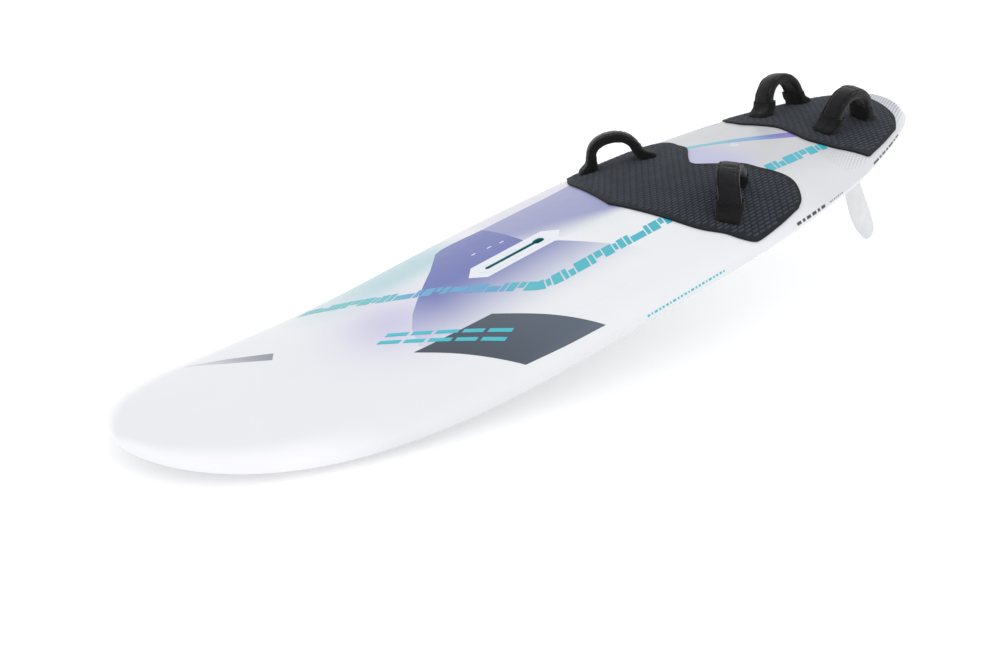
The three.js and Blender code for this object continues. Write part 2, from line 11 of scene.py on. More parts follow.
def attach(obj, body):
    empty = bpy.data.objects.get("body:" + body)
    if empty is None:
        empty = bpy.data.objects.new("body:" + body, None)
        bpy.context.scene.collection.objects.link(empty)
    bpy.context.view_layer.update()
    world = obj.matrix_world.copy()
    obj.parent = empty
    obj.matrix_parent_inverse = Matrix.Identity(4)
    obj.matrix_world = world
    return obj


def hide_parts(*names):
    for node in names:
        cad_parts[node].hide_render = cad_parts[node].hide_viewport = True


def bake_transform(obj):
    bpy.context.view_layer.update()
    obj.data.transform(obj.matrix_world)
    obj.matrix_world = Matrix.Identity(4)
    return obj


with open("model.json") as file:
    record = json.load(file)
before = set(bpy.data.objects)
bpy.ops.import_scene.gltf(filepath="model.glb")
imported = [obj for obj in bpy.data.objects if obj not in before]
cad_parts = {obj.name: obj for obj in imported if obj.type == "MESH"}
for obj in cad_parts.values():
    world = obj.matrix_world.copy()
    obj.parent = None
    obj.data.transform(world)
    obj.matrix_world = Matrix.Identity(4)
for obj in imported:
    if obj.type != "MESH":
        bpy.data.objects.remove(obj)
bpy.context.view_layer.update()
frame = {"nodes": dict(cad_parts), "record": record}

MM = 0.001

# ---- driving dimensions, millimetres ----
PITCH_DEG = 13.3541
HULL_ORIGIN = (-1.098193, 0.0, 0.406669)
TO_METRES = Matrix.Diagonal((MM, MM, MM, 1))
TO_ROW = (Matrix.Translation(HULL_ORIGIN) @ Matrix.Rotation(math.radians(PITCH_DEG), 4, "Y")
          @ TO_METRES)

LENGTH = 2300.0
NOSE_START = 1500.0
NOSE_EDGE = 30.0
TAIL_EDGE = 12.0
RAIL_HEIGHT = 0.34
DOME_POWERS = (1.9, 0.606)
ROCKER_START = 1481.0
NOSE_ROCKER = 168.0
HALF_WIDTHS = [(0, 77), (60, 136), (150, 184), (300, 241), (500, 296), (750, 331), (1000, 342),
               (1250, 343), (1500, 336), (1750, 320), (1950, 301), (2100, 283), (LENGTH, 258)]
THICKNESSES = [(0, 46), (60, 59.5), (300, 90), (600, 113.5), (900, 128.5), (1200, 133),
               (1500, 128.5), (1800, 111.5), (2050, 81.5), (2200, 54), (LENGTH, 22)]

GAP = 0.3
PAD_THICKNESS = 5.0
PAD_ROUNDING = 1.6
FRONT_PAD = [
    [(1047, 0), (1012, 139), (984, 228), (945, 278)],
    [(945, 278), (927, 306), (906, 324), (882, 328), (801, 319), (724, 305)],
    [(724, 305), (692, 287), (660, 249), (648, 215), (653, 176), (667, 138)],
    [(667, 138), (679, 95), (718, 54), (752, 15), (757, 0)],
]
REAR_PAD = [
    [(433, 0), (438, 30), (446, 70), (452, 115), (434, 180), (411, 212), (391, 237)],
    [(391, 237), (383, 245), (371, 247), (354, 242), (267, 217), (182, 187)],
    [(182, 187), (149, 164), (120, 137), (97, 95), (80, 45), (73, 0)],
]

MAST_X, MAST_LENGTH, MAST_WIDTH, MAST_HEIGHT = 1340.0, 204.0, 40.0, 38.0
SLOT_LENGTH, SLOT_WIDTH, SLOT_LIP = 170.0, 10.0, 9.0
ENTRY_LENGTH, ENTRY_WIDTH = 30.0, 20.0
CHANNEL_WIDTH, CHANNEL_HEIGHT = 22.0, 12.0
FIN_X, FIN_BOX_LENGTH, FIN_BOX_WIDTH, FIN_BOSS = 182.0, 118.0, 36.0, 14.0
VENT_X, VENT_Y, VENT_RADIUS, VENT_HEAD = 592.0, -10.0, 14.0, 9.5

STRAP_SETS = {
    "front": dict(x=834.0, y=200.0, turn=36.0, height=78.0, forward=8.0, inboard=18.0),
    "rear": dict(x=292.0, y=109.0, turn=0.0, height=86.0, forward=4.0, inboard=0.0),
}
SIDES = {"port": 1, "starboard": -1}
ANCHOR_SPACING, LEG_INSET, ARCH_EXPONENT = 176.0, 24.0, 2.3
COVER_WIDTH, COVER_DEPTH = 62.0, 24.0
STRAP_LIFT = 0.6
SEAM_ACROSS = 22.0

FIN_LEADING = [(226, -1.3), (190, -110), (151, -220), (127, -292), (99, -346), (70, -385)]
FIN_TRAILING = [(140, -1.3), (112, -95), (76, -199), (41, -293), (20, -352), (11, -388)]
FIN_TIP = [(62, 16, -396), (52, 22, -404), (42, 28, -408)]
FIN_THICKNESS = 0.1

# raised dashes on the pads, each row shifted along a little from the one before
DASH_LENGTH, DASH_WIDTH, DASH_HEIGHT = 18.5, 5.0, 0.9
DASH_PITCH = (22.5, 8.4)
DASH_SHIFT = 0.38
DASH_TURN_DEG = 3.0
DASH_MARGIN = 4.5

PRINT_SKIRT = 0.5
FLOOR_SIZE, FLOOR_LEVEL, FLOOR_GLOW = 14.0, -0.001, 0.27
FLOOR_SHADES = [(229.83,) * 3, (232.39,) * 3]
CAMERA_PLACE = (1.6833, 1.8403, 1.0327)
CAMERA_TURN_DEG = (66.731, -0.804, 142.923)
CAMERA_LENS = 38.77


# ---- hull surface ----
def smooth_through(pairs):
    """A smooth curve through (x, value) pairs that never overshoots them."""
    xs = np.array([p[0] for p in pairs], float)
    ys = np.array([p[1] for p in pairs], float)
    slopes = np.diff(ys) / np.diff(xs)
    before, after = slopes[:-1], slopes[1:]
    turns = before * after <= 0
    middle = np.where(turns, 0, 2 * before * after / np.where(turns, 1, before + after))
    tangents = np.concatenate([[slopes[0]], middle, [slopes[-1]]])

    def value(x):
        i = np.clip(np.searchsorted(xs, x) - 1, 0, len(xs) - 2)
        span = xs[i + 1] - xs[i]
        s = (x - xs[i]) / span
        rise = s * s * (3 - 2 * s)
        bend = span * s * (1 - s) * ((1 - s) * tangents[i] - s * tangents[i + 1])
        return ys[i] * (1 - rise) + ys[i + 1] * rise + bend

    return value


body_half_width = smooth_through(HALF_WIDTHS)
body_thickness = smooth_through(THICKNESSES)


def half_width(x):
    s = np.clip((x - NOSE_START) / (LENGTH - NOSE_START), 0, 1)
    return body_half_width(x) * np.sqrt(1 - s**6)


def thickness(x):
    nose = np.clip((x - LENGTH + NOSE_EDGE) / NOSE_EDGE, 0, 1)
    tail = np.clip(1 - x / TAIL_EDGE, 0, 1)
    return body_thickness(x) * np.sqrt(1 - nose**2) * (1 - 0.4 * tail**2)


def rocker(x):
    s = np.clip((x - ROCKER_START) / (LENGTH - ROCKER_START), 0, 1)
    return NOSE_ROCKER * s**2.4


def rail_height(x):
    return rocker(x) + RAIL_HEIGHT * thickness(x)


def deck_at(x, u):
    """The deck's height at station x, u of the way from the centre line to the rail."""
    dome = (1 - u ** DOME_POWERS[0]) ** DOME_POWERS[1]
    return rail_height(x) + (1 - RAIL_HEIGHT) * thickness(x) * dome


def hull_point(x, s):
    """s runs 0 at the deck's middle, 1 at the rail, 2 at the bottom's middle; arrays go through."""
    x, s = np.broadcast_arrays(np.asarray(x, float), np.asarray(s, float))
    on_top = s <= 1
    u = 1 - (1 - np.where(on_top, s, 2 - s)) ** 2
    low = rocker(x)
    bottom = low + (rail_height(x) - low) * (1 - np.sqrt(np.clip(1 - u**7, 0, 1)))
    return np.stack([x, half_width(x) * u, np.where(on_top, deck_at(x, u), bottom)], -1)


def deck_height(x, y):
    return deck_at(x, np.clip(np.abs(y) / np.maximum(half_width(x), 1e-6), 0, 0.9995))


def unit(rows):
    """Each row, or the one vector, at length 1."""
    return rows / np.maximum(np.linalg.norm(rows, axis=-1, keepdims=True), 1e-9)


def deck_normal(x, y, step=1.0):
    slope_x = (deck_height(x + step, y) - deck_height(x - step, y)) / (2 * step)
    slope_y = (deck_height(x, y + step) - deck_height(x, y - step)) / (2 * step)
    return unit(np.stack([-slope_x, -slope_y, np.ones_like(slope_x)], -1))


def on_deck(xy, lift):
    """Points above the deck under (x, y) pairs, out along its normal."""
    xy = np.asarray(xy, float).reshape(-1, 2)
    x, y = xy[:, 0], xy[:, 1]
    base = np.stack([x, y, deck_height(x, y)], 1)
    lift = np.broadcast_to(np.asarray(lift, float), len(xy)).reshape(-1, 1)
    return base + deck_normal(x, y) * lift


def frame_at(place, along, across, normal):
    made = Matrix((along, across, normal)).transposed().to_4x4()
    made.translation = place
    return made


def deck_frame(x, y):
    """The frame of a fitting let into the deck, z along the deck's normal."""
    normal = Vector(deck_normal(x, y))
    along = Vector((0, 1, 0)).cross(normal).normalized()
    return frame_at((x, y, deck_height(x, y)), along, normal.cross(along), normal)


def strap_frame(set_, side):
    """x along the anchor line towards the nose, z out of the deck, origin between the anchors."""
    turn = math.radians(set_["turn"])
    x, y = set_["x"], side * set_["y"]
    ends = []
    for reach in (-ANCHOR_SPACING / 2, ANCHOR_SPACING / 2):
        foot = (x + reach * math.cos(turn), y + reach * side * math.sin(turn))
        ends.append(Vector((*foot, deck_height(*foot) + GAP + PAD_THICKNESS)))
    along = (ends[1] - ends[0]).normalized()
    across = Vector(deck_normal(x, y)).cross(along).normalized()
    normal = along.cross(across)
    return frame_at((ends[0] + ends[1]) / 2 + normal * STRAP_LIFT, along, across, normal)


# ---- mesh helpers ----
def smooth_run(points, steps=8):
    """A Catmull-Rom curve through the points of one smooth run."""
    p = np.array(points, float)
    p = np.vstack([2 * p[0] - p[1], p, 2 * p[-1] - p[-2]])
    made = []
    for a, b, c, d in zip(p[:-3], p[1:-2], p[2:-1], p[3:]):
        for t in np.arange(steps) / steps:
            made.append(0.5 * (2 * b + (c - a) * t + (2 * a - 5 * b + 4 * c - d) * t**2
                               + (3 * b - a - 3 * c + d) * t**3))
    made.append(p[-2])
    return np.array(made)


def mirrored_outline(runs, steps=8):
    """A closed outline from the runs of its port half, both ends on the centre line."""
    half = np.vstack([smooth_run(run, steps)[:-1] for run in runs] + [np.array([runs[-1][-1]])])
    return np.vstack([half, half[-2:0:-1] * [1, -1]])


def resample(line, step, closed=True):
    """The line with points no further apart than step."""
    ends = np.roll(line, -1, 0) if closed else line[1:]
    made = []
    for a, b in zip(line, ends):
        parts = max(1, math.ceil(np.linalg.norm(b - a) / step))
        made += [a + (b - a) * k / parts for k in range(parts)]
    return np.array(made if closed else [*made, line[-1]])


def run_lengths(points):
    """How far along a run of points each one is."""
    steps = np.linalg.norm(np.diff(points, axis=0), axis=1)
    return np.concatenate([[0], np.cumsum(steps)])


def inset(outline, distance):
    """The closed outline moved inwards, corners kept by their mitre."""
    after = np.roll(outline, -1, 0)
    to_normal = np.array([[0, -1], [1, 0]])
    normal_in = unit(outline - np.roll(outline, 1, 0)) @ to_normal
    normal = unit(normal_in + unit(after - outline) @ to_normal)
    mitre = np.clip(np.sum(normal * normal_in, axis=1), 0.35, 1)
    area = np.sum(outline[:, 0] * after[:, 1] - after[:, 0] * outline[:, 1])
    return outline - math.copysign(1, area) * normal * (distance / mitre)[:, None]


def inside(points, outline):
    """Which points lie inside the closed outline."""
    x, y = points[:, 0][:, None], points[:, 1][:, None]
    a, b = outline, np.roll(outline, -1, 0)
    crosses = (a[:, 1] > y) != (b[:, 1] > y)
    rise = np.where(b[:, 1] == a[:, 1], 1e-9, b[:, 1] - a[:, 1])
    at = a[:, 0] + (y - a[:, 1]) * (b[:, 0] - a[:, 0]) / rise
    return (np.sum(crosses & (x < at), axis=1) % 2) == 1


def filled(outline, step, holes=()):
    """Points and triangles that fill an outline, with a grid of points inside it."""
    def within(spots):
        kept = inside(spots, outline)
        for hole in holes:
            kept &= ~inside(spots, hole)
        return kept

    loops = [outline, *holes]
    low, high = outline.min(0), outline.max(0)
    xs, ys = (np.arange(low[k] + step / 2, high[k], step) for k in (0, 1))
    grid = np.stack(np.meshgrid(xs, ys), -1).reshape(-1, 2)
    grid = grid[within(grid)]
    rim = np.vstack(loops)
    room = np.min(np.linalg.norm(grid[:, None] - rim[None], axis=2), axis=1)
    points = np.vstack([rim, grid[room > 0.45 * step]])
    edges, start = [], 0
    for loop in loops:
        edges += [(start + k, start + (k + 1) % len(loop)) for k in range(len(loop))]
        start += len(loop)
    flat = [Vector((float(x), float(y))) for x, y in points]
    made = delaunay_2d_cdt(flat, edges, [], 2, 1e-4)
    points = np.array([tuple(v) for v in made[0]])
    middles = np.array([points[list(face)].mean(0) for face in made[2]])
    triangles = []
    for face, kept in zip(made[2], within(middles)):
        if kept:
            (ax, ay), (bx, by), (cx, cy) = points[list(face)]
            turn = (bx - ax) * (cy - ay) - (by - ay) * (cx - ax)
            triangles.append(tuple(face) if turn > 0 else tuple(face[::-1]))
    return points, triangles


def rim_edges(faces):
    """The directed edges that only one face uses."""
    used = dict.fromkeys(edge for face in faces for edge in zip(face, face[1:] + face[:1]))
    return [(a, b) for a, b in used if (b, a) not in used]


def skirt(triangles, count):
    """The rim's points, and faces that join the rim to copies of its points, numbered from count."""
    rim = rim_edges(triangles)
    rim_points = sorted({a for a, _ in rim})
    lower = {point: count + k for k, point in enumerate(rim_points)}
    return rim_points, [(b, a, lower[a], lower[b]) for a, b in rim]


def patch_faces(rows, columns):
    """Quads of a grid of points, with walls to a second grid of as many points behind it."""
    faces = [(a, a + 1, a + columns + 1, a + columns)
             for r in range(rows - 1) for a in range(r * columns, (r + 1) * columns - 1)]
    behind = rows * columns
    return faces + [(b, a, a + behind, b + behind) for a, b in rim_edges(faces)]


def store_paint(mesh, colours):
    """Keeps one colour for each vertex, for the lacquer to show."""
    paint = mesh.color_attributes.new("paint", "FLOAT_COLOR", "POINT")
    rows = np.hstack([colours, np.ones((len(colours), 1))])
    paint.data.foreach_set("color", rows.astype(np.float32).ravel())


def new_mesh(name, points, faces, material, to_row=TO_ROW, sharp=35, colours=None, uv=None):
    """An object from points in the hull frame."""
    mesh = bpy.data.meshes.new(name)
    points = np.asarray(points, float)
    turned = points @ np.array(to_row.to_3x3()).T + np.array(to_row.translation)
    mesh.from_pydata(turned.tolist(), [], [tuple(int(k) for k in face) for face in faces])
    if colours is not None:
        store_paint(mesh, colours)
    if uv is not None:
        layer = mesh.uv_layers.new(name="cloth")
        corners = np.zeros(len(mesh.loops), int)
        mesh.loops.foreach_get("vertex_index", corners)
        layer.data.foreach_set("uv", np.asarray(uv, np.float32)[corners].ravel())
    mesh.polygons.foreach_set("use_smooth", [True] * len(mesh.polygons))
    mesh.validate()
    if sharp:
        mesh.set_sharp_from_angle(angle=math.radians(sharp))
    mesh.materials.append(material)
    made = bpy.data.objects.new(name, mesh)
    bpy.context.scene.collection.objects.link(made)
    return made


def ring_faces(rings, count):
    """Quads between closed rings of count points."""
    edges = [(r * count + k, r * count + (k + 1) % count)
             for r in range(rings - 1) for k in range(count)]
    return [(a, b, b + count, a + count) for a, b in edges]


def capped(rings):
    """Points and faces of a closed loft through rings of equal length."""
    count = len(rings[0])
    last = (len(rings) - 1) * count
    ends = [tuple(range(count - 1, -1, -1)), tuple(range(last, last + count))]
    return np.vstack(rings).astype(float), ring_faces(len(rings), count) + ends


def applied(obj):
    """Turns the object's modifiers into its mesh."""
    bpy.context.view_layer.update()
    graph = bpy.context.evaluated_depsgraph_get()
    mesh = bpy.data.meshes.new_from_object(obj.evaluated_get(graph))
    obj.modifiers.clear()
    obj.data = mesh
    return obj


def cut(obj, cutters):
    """Takes the cutters' shapes out of the object."""
    for cutter in cutters:
        change = obj.modifiers.new("cut", "BOOLEAN")
        change.operation = "DIFFERENCE"
        change.solver = "EXACT"
        change.object = cutter
    applied(obj)
    for cutter in cutters:
        bpy.data.objects.remove(cutter)
    return obj


def facing_out(obj):
    """Makes every face's normal point out of the closed shape."""
    shape = bmesh.new()
    shape.from_mesh(obj.data)
    bmesh.ops.recalc_face_normals(shape, faces=shape.faces)
    shape.to_mesh(obj.data)
    shape.free()
    return obj


def joined_shapes(shapes):
    """One (points, faces) out of many."""
    points, faces, start = [], [], 0
    for shape_points, shape_faces in shapes:
        points.append(np.asarray(shape_points, float))
        faces += [tuple(k + start for k in face) for face in shape_faces]
        start += len(shape_points)
    return np.vstack(points), faces


def moved(points, matrix):
    return np.asarray(points, float) @ np.array(matrix.to_3x3()).T + np.array(matrix.translation)


def arc(x, radius, start, end, steps):
    """Points round (x, 0) between two angles in degrees."""
    turn = np.radians(np.linspace(start, end, steps))
    return np.stack([x + radius * np.cos(turn), radius * np.sin(turn)], 1)


def bar_ring(length, width, z, steps=10):
    """A level ring in the shape of a bar with round ends."""
    radius = width / 2
    reach = length / 2 - radius
    flat = np.vstack([arc(reach, radius, -90, 90, steps + 1), arc(-reach, radius, 90, 270, steps + 1)])
    return np.column_stack([flat, np.full(len(flat), z)])


def even_turns(count):
    """Angles spread evenly round a circle."""
    return 2 * np.pi * np.arange(count) / count


def round_ring(radius, z, count=48):
    turn = even_turns(count)
    return np.stack([radius * np.cos(turn), radius * np.sin(turn), np.full(count, z)], 1)


def cutter(rings, matrix):
    points, faces = capped(rings)
    return new_mesh("cutter", moved(points, matrix), faces, hidden, sharp=0)


def bar_cutter(length, width, low, high, matrix):
    return cutter([bar_ring(length, width, z) for z in (low, high)], matrix)


def box_cutter(size, centre, matrix):
    x, y, z = np.array(size) / 2
    level = np.array([(-x, -y, 0), (x, -y, 0), (x, y, 0), (-x, y, 0)]) + centre
    return cutter([level - (0, 0, z), level + (0, 0, z)], matrix)


def rod_cutter(radius, low, high, matrix):
    return cutter([round_ring(radius, z) for z in (low, high)], matrix)


def placed(made, body="board", stands_for=()):
    """Hides the nodes a piece replaces and attaches the piece to the body that carries it."""
    if stands_for:
        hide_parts(*stands_for)
    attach(made, body)
    return made


# ---- materials ----
def srgb(red, green, blue):
    """A colour given as 0 to 255 screen values, as the shader's linear values."""
    value = np.array([red, green, blue], float) / 255
    return np.where(value <= 0.04045, value / 12.92, ((value + 0.055) / 1.055) ** 2.4)


class Look:
    """A procedural material under construction."""

    def __init__(self, name, roughness=0.5, metallic=0.0, coat=0.0, sheen=0.0, specular=0.5):
        self.material = bpy.data.materials.new(name)
        self.material.use_nodes = True
        self.nodes = self.material.node_tree.nodes
        self.links = self.material.node_tree.links
        self.shader = self.nodes["Principled BSDF"]
        for socket, value in (("Roughness", roughness), ("Metallic", metallic),
                              ("Coat Weight", coat), ("Coat Roughness", 0.18),
                              ("Sheen Weight", sheen), ("Sheen Roughness", 0.4),
                              ("Specular IOR Level", specular)):
            self.shader.inputs[socket].default_value = value
        self.place = self.nodes.new("ShaderNodeTexCoord")
        self.normal = None

    def feed(self, socket, value):
        """Links another node's output to the socket, or sets a plain value on it."""
        if isinstance(value, bpy.types.NodeSocket):
            self.links.new(value, socket)
        else:
            socket.default_value = value

    def node(self, kind, **inputs):
        made = self.nodes.new("ShaderNode" + kind)
        for name, value in inputs.items():
            self.feed(made.inputs[name.replace("_", " ")], value)
        return made

    def spread(self, kind="Object", scale=(1, 1, 1)):
        return self.node("Mapping", Scale=scale, Vector=self.place.outputs[kind]).outputs["Vector"]

    def noise(self, scale, detail=3, vector=None):
        vector = vector or self.spread()
        return self.node("TexNoise", Scale=scale, Detail=detail, Vector=vector).outputs["Fac"]

    def cells(self, scale):
        return self.node("TexVoronoi", Scale=scale, Vector=self.spread()).outputs["Distance"]

    def bands(self, scale, direction, vector=None, distortion=0.0):
        vector = vector or self.spread()
        made = self.node("TexWave", Scale=scale, Distortion=distortion, Vector=vector)
        made.bands_direction = direction
        return made.outputs["Fac"]

    def math(self, kind, a, b):
        made = self.nodes.new("ShaderNodeMath")
        made.operation = kind
        self.feed(made.inputs[0], a)
        self.feed(made.inputs[1], b)
        return made.outputs[0]

    def blended(self, a, b, share):
        """a and b added, with b's share given."""
        return self.math("ADD", self.math("MULTIPLY", a, 1 - share),
                         self.math("MULTIPLY", b, share))

    def colours(self, factor, *stops):
        """Colour by factor through (place, screen colour) stops."""
        made = self.node("ValToRGB", Fac=factor)
        for element, (at, colour) in zip(made.color_ramp.elements, stops):
            element.position = at
            element.color = (*srgb(*colour), 1)
        self.links.new(made.outputs["Color"], self.shader.inputs["Base Color"])

    def rough(self, factor, low, high):
        made = self.node("MapRange", Value=factor, To_Min=low, To_Max=high)
        self.links.new(made.outputs["Result"], self.shader.inputs["Roughness"])

    def bump(self, height, strength, distance=0.001):
        made = self.node("Bump", Height=height, Strength=strength, Distance=distance)
        if self.normal is not None:
            self.links.new(self.normal, made.inputs["Normal"])
        self.normal = made.outputs["Normal"]
        self.links.new(self.normal, self.shader.inputs["Normal"])


def painted_look():
    """Satin lacquer over the colours stored on the mesh."""
    look = Look("hull_lacquer", coat=0.25, specular=0.45)
    paint = look.nodes.new("ShaderNodeAttribute")
    paint.attribute_name = "paint"
    mottle = look.node("MapRange", Value=look.noise(9, 6), To_Min=0.955, To_Max=1.0)
    tint = look.nodes.new("ShaderNodeMix")
    tint.data_type = "RGBA"
    tint.blend_type = "MULTIPLY"
    tint.inputs["Factor"].default_value = 1
    look.links.new(paint.outputs["Color"], tint.inputs["A"])
    look.links.new(mottle.outputs["Result"], tint.inputs["B"])
    look.links.new(tint.outputs["Result"], look.shader.inputs["Base Color"])
    look.rough(look.noise(26, 5), 0.3, 0.46)
    look.bump(look.noise(900, 2), 0.06, 0.0004)
    look.bump(look.noise(14, 2), 0.05, 0.002)
    return look.material


def pad_look(name, dark, light):
    look = Look(name, sheen=0.08, specular=0.3)
    grain = look.noise(1500, 3)
    look.colours(look.blended(grain, look.noise(30, 4), 0.5), (0.3, dark), (0.7, light))
    look.rough(look.noise(60, 3), 0.72, 0.92)
    look.bump(look.cells(1700), 0.35, 0.0004)
    look.bump(grain, 0.3, 0.0004)
    return look.material


def cloth_look(name, dark, light, rib, weft, sheen, strength):
    """Woven or knitted cloth on a mesh whose UVs are in centimetres."""
    look = Look(name, sheen=sheen, specular=0.25)
    weave = look.math("MULTIPLY", look.bands(rib, "X", look.spread("UV")),
                      look.bands(weft, "Y", look.spread("UV"), 1.5))
    look.colours(look.blended(weave, look.noise(40, 5), 0.45), (0.2, dark), (0.75, light))
    look.rough(look.noise(120, 3), 0.68, 0.9)
    look.bump(weave, strength, 0.0006)
    look.bump(look.noise(1400, 2), 0.2, 0.0003)
    return look.material


def moulded_look(name, dark, light, roughness=(0.38, 0.55), grain=700):
    look = Look(name, specular=0.45)
    look.colours(look.noise(45, 4), (0.35, dark), (0.7, light))
    look.rough(look.noise(90, 4), *roughness)
    look.bump(look.noise(grain, 3), 0.12, 0.0003)
    return look.material


def metal_look():
    look = Look("brushed_steel", metallic=1.0)
    brushed = look.noise(60, 4, look.spread(scale=(1, 14, 14)))
    look.colours(brushed, (0.3, (150, 152, 155)), (0.7, (205, 207, 210)))
    look.rough(look.noise(300, 3), 0.22, 0.42)
    look.bump(brushed, 0.08, 0.0002)
    return look.material


def laminate_look():
    """Pale glass laminate, its cloth just seen through a sanded face."""
    look = Look("fin_laminate", coat=0.3, specular=0.5)
    cloth = look.math("MULTIPLY", look.bands(95, "X"), look.bands(95, "Z"))
    look.colours(look.blended(cloth, look.noise(22, 5), 0.65),
                 (0.2, (206, 207, 210)), (0.75, (228, 229, 231)))
    look.rough(look.noise(200, 3), 0.24, 0.4)
    look.bump(cloth, 0.05, 0.0002)
    return look.material


def foam_look(name, dark, light, beads):
    look = Look(name, roughness=0.9, specular=0.2)
    cells = look.cells(beads)
    look.colours(cells, (0.1, dark), (0.6, light))
    look.rough(look.noise(50), 0.8, 0.95)
    look.bump(cells, 0.5, 0.001)
    return look.material


def floor_look():
    """Pale floor that glows a little, so that it stays near white under soft light."""
    look = Look("studio_floor", specular=0.1)
    look.colours(look.noise(2.0, 3), (0.3, FLOOR_SHADES[0]), (0.7, FLOOR_SHADES[1]))
    look.rough(look.noise(3.0), 0.6, 0.8)
    look.shader.inputs["Emission Color"].default_value = (1, 1, 1, 1)
    look.shader.inputs["Emission Strength"].default_value = FLOOR_GLOW
    return look.material


hidden = bpy.data.materials.new("cutting_tool")
lacquer = painted_look()
# one EVA foam in two copies: the darker is a painted shade on the pad's body between its dashes, the
# lighter a painted highlight on the raised dashes
pad_foam_painted_shade = pad_look("pad_foam_painted_shade", (13, 15, 21), (27, 31, 39))
pad_grip_painted_highlight = pad_look("pad_grip_painted_highlight", (37, 42, 52), (59, 66, 79))
knit = cloth_look("strap_knit", (9, 9, 11), (27, 28, 31), 2.4, 3.0, 0.3, 0.5)
sleeve_cloth = cloth_look("strap_sleeve", (6, 6, 7), (20, 21, 24), 4.2, 1.5, 0.12, 0.7)
webbing_cloth = cloth_look("nylon_webbing", (10, 10, 11), (34, 35, 38), 1.6, 4.0, 0.15, 0.8)
thread = cloth_look("sewing_thread", (30, 31, 34), (62, 64, 68), 9.0, 9.0, 0.1, 0.6)
dark_plastic = moulded_look("dark_moulding", (24, 26, 29), (38, 40, 44))
pale_plastic = moulded_look("pale_moulding", (204, 207, 214), (222, 224, 229))
teal_plastic = moulded_look("teal_moulding", (16, 104, 114), (30, 140, 148))
white_plastic = moulded_look("white_moulding", (218, 221, 228), (228, 231, 237), (0.35, 0.5))
rubber = moulded_look("seal_rubber", (10, 10, 11), (22, 22, 24), (0.55, 0.75), 1200)
steel = metal_look()
laminate = laminate_look()
white_foam = foam_look("bead_foam", (214, 214, 208), (244, 244, 240), 260)
dense_foam = foam_look("dense_foam", (190, 172, 128), (218, 202, 164), 700)

SLOT_LOOKS = {
    "hull_skin": lacquer, "white_foam": white_foam, "dense_foam": dense_foam,
    "grip_pad": pad_foam_painted_shade, "strap_cover": knit, "strap_webbing": webbing_cloth,
    "fin_laminate": laminate, "dark_plastic": dark_plastic, "pale_plastic": pale_plastic,
    "teal_plastic": teal_plastic, "seal_rubber": rubber, "steel": steel,
}
for subpart in frame["record"]["subparts"]:
    slots = frame["nodes"][subpart["node"]].data.materials
    slots.clear()
    slots.append(SLOT_LOOKS[subpart["material_slot"]])


# ---- printed colours ----
WHITE = srgb(227, 229, 233)
VIOLET = srgb(94, 104, 172)
LAVENDER = srgb(143, 147, 190)
LILAC = srgb(188, 184, 218)
AQUA = srgb(166, 202, 210)
TEAL = srgb(60, 186, 200)


def step_between(low, high, value):
    """0 before low, 1 past high, and a smooth step between them."""
    t = np.clip((np.asarray(value, float) - low) / (high - low), 0, 1)
    return t * t * (3 - 2 * t)


def blended(base, colour, strength):
    """One colour for each strength, from base at 0 to colour at 1."""
    strength = np.asarray(strength, float)[:, None]
    return base * (1 - strength) + colour * strength


def side_colour_with_painted_highlight(xy):
    """The plain hull, with a painted highlight that brightens the rim of the nose."""
    x = xy[:, 0]
    room = half_width(np.minimum(x, LENGTH)) - np.abs(xy[:, 1])
    # painted highlight round the rim of the nose
    rim = step_between(1850, 2060, x) * (1 - step_between(15, 75, room))
    return blended(WHITE, srgb(244, 244, 249), rim)


def deck_colour(xy):
    """The deck's soft tints and a painted shade over the aft deck, without its sharp prints."""
    x, y = xy[:, 0], xy[:, 1]
    # painted shade: the deck aft of the front pad is darkened, less at the tail and towards the port
    # rail
    aft = (1 - step_between(560, 900, x)) * (0.35 + 0.65 * step_between(60, 300, x))
    colour = side_colour_with_painted_highlight(xy)
    colour *= 1 - (0.3 * aft * (1 - 0.5 * step_between(120, 260, y)))[:, None]
    aqua = (step_between(1300, 1460, x) * (1 - step_between(1560, 1880, x))
            * step_between(-70, -185, y))
    rose = np.exp(-((x - 1690) / 120) ** 2 - ((y - 10) / 120) ** 2)
    rail = ((1 - step_between(1250, 1330, x)) * step_between(900, 1010, x)
            * step_between(-190, -215, y))
    stripe = (step_between(1010, 1080, x) * (1 - step_between(1150, 1230, x))
              * np.exp(-((y + 10) / 70) ** 2))
    line_y = np.interp(x, [500, 580, 668, 760], [25, -38, -108, -180])
    notch = (step_between(560, 700, x) * (1 - step_between(770, 790, x))
             * step_between(-6, 6, y - line_y) * (1 - step_between(60, 150, y)))
    for tint, strength in ((AQUA, 0.9 * aqua), (LILAC, 0.75 * rose),
                           (srgb(214, 212, 226), 0.8 * rail), (srgb(216, 222, 224), 0.8 * stripe),
                           (srgb(176, 176, 212), 0.9 * notch)):
        colour = blended(colour, tint, strength)
    return colour


def violet_colour(xy):
    x, y = xy[:, 0], xy[:, 1]
    strength = 1 - step_between(-40, 235, y)
    front = 1 - 0.5 * step_between(1560, 1700, x)
    return blended(deck_colour(xy), VIOLET, strength * front)


def lavender_colour(xy):
    x, y = xy[:, 0], xy[:, 1]
    start = -90 + 0.5 * (1250 - x)
    strength = 1 - step_between(start, np.minimum(start + 150, 58), y)
    return blended(deck_colour(xy), LAVENDER, strength)


def nose_colour(xy):
    return blended(srgb(132, 137, 150), srgb(204, 206, 213), step_between(1930, 2080, xy[:, 0]))


def plain_colour(colour):
    return lambda xy: np.tile(colour, (len(xy), 1))


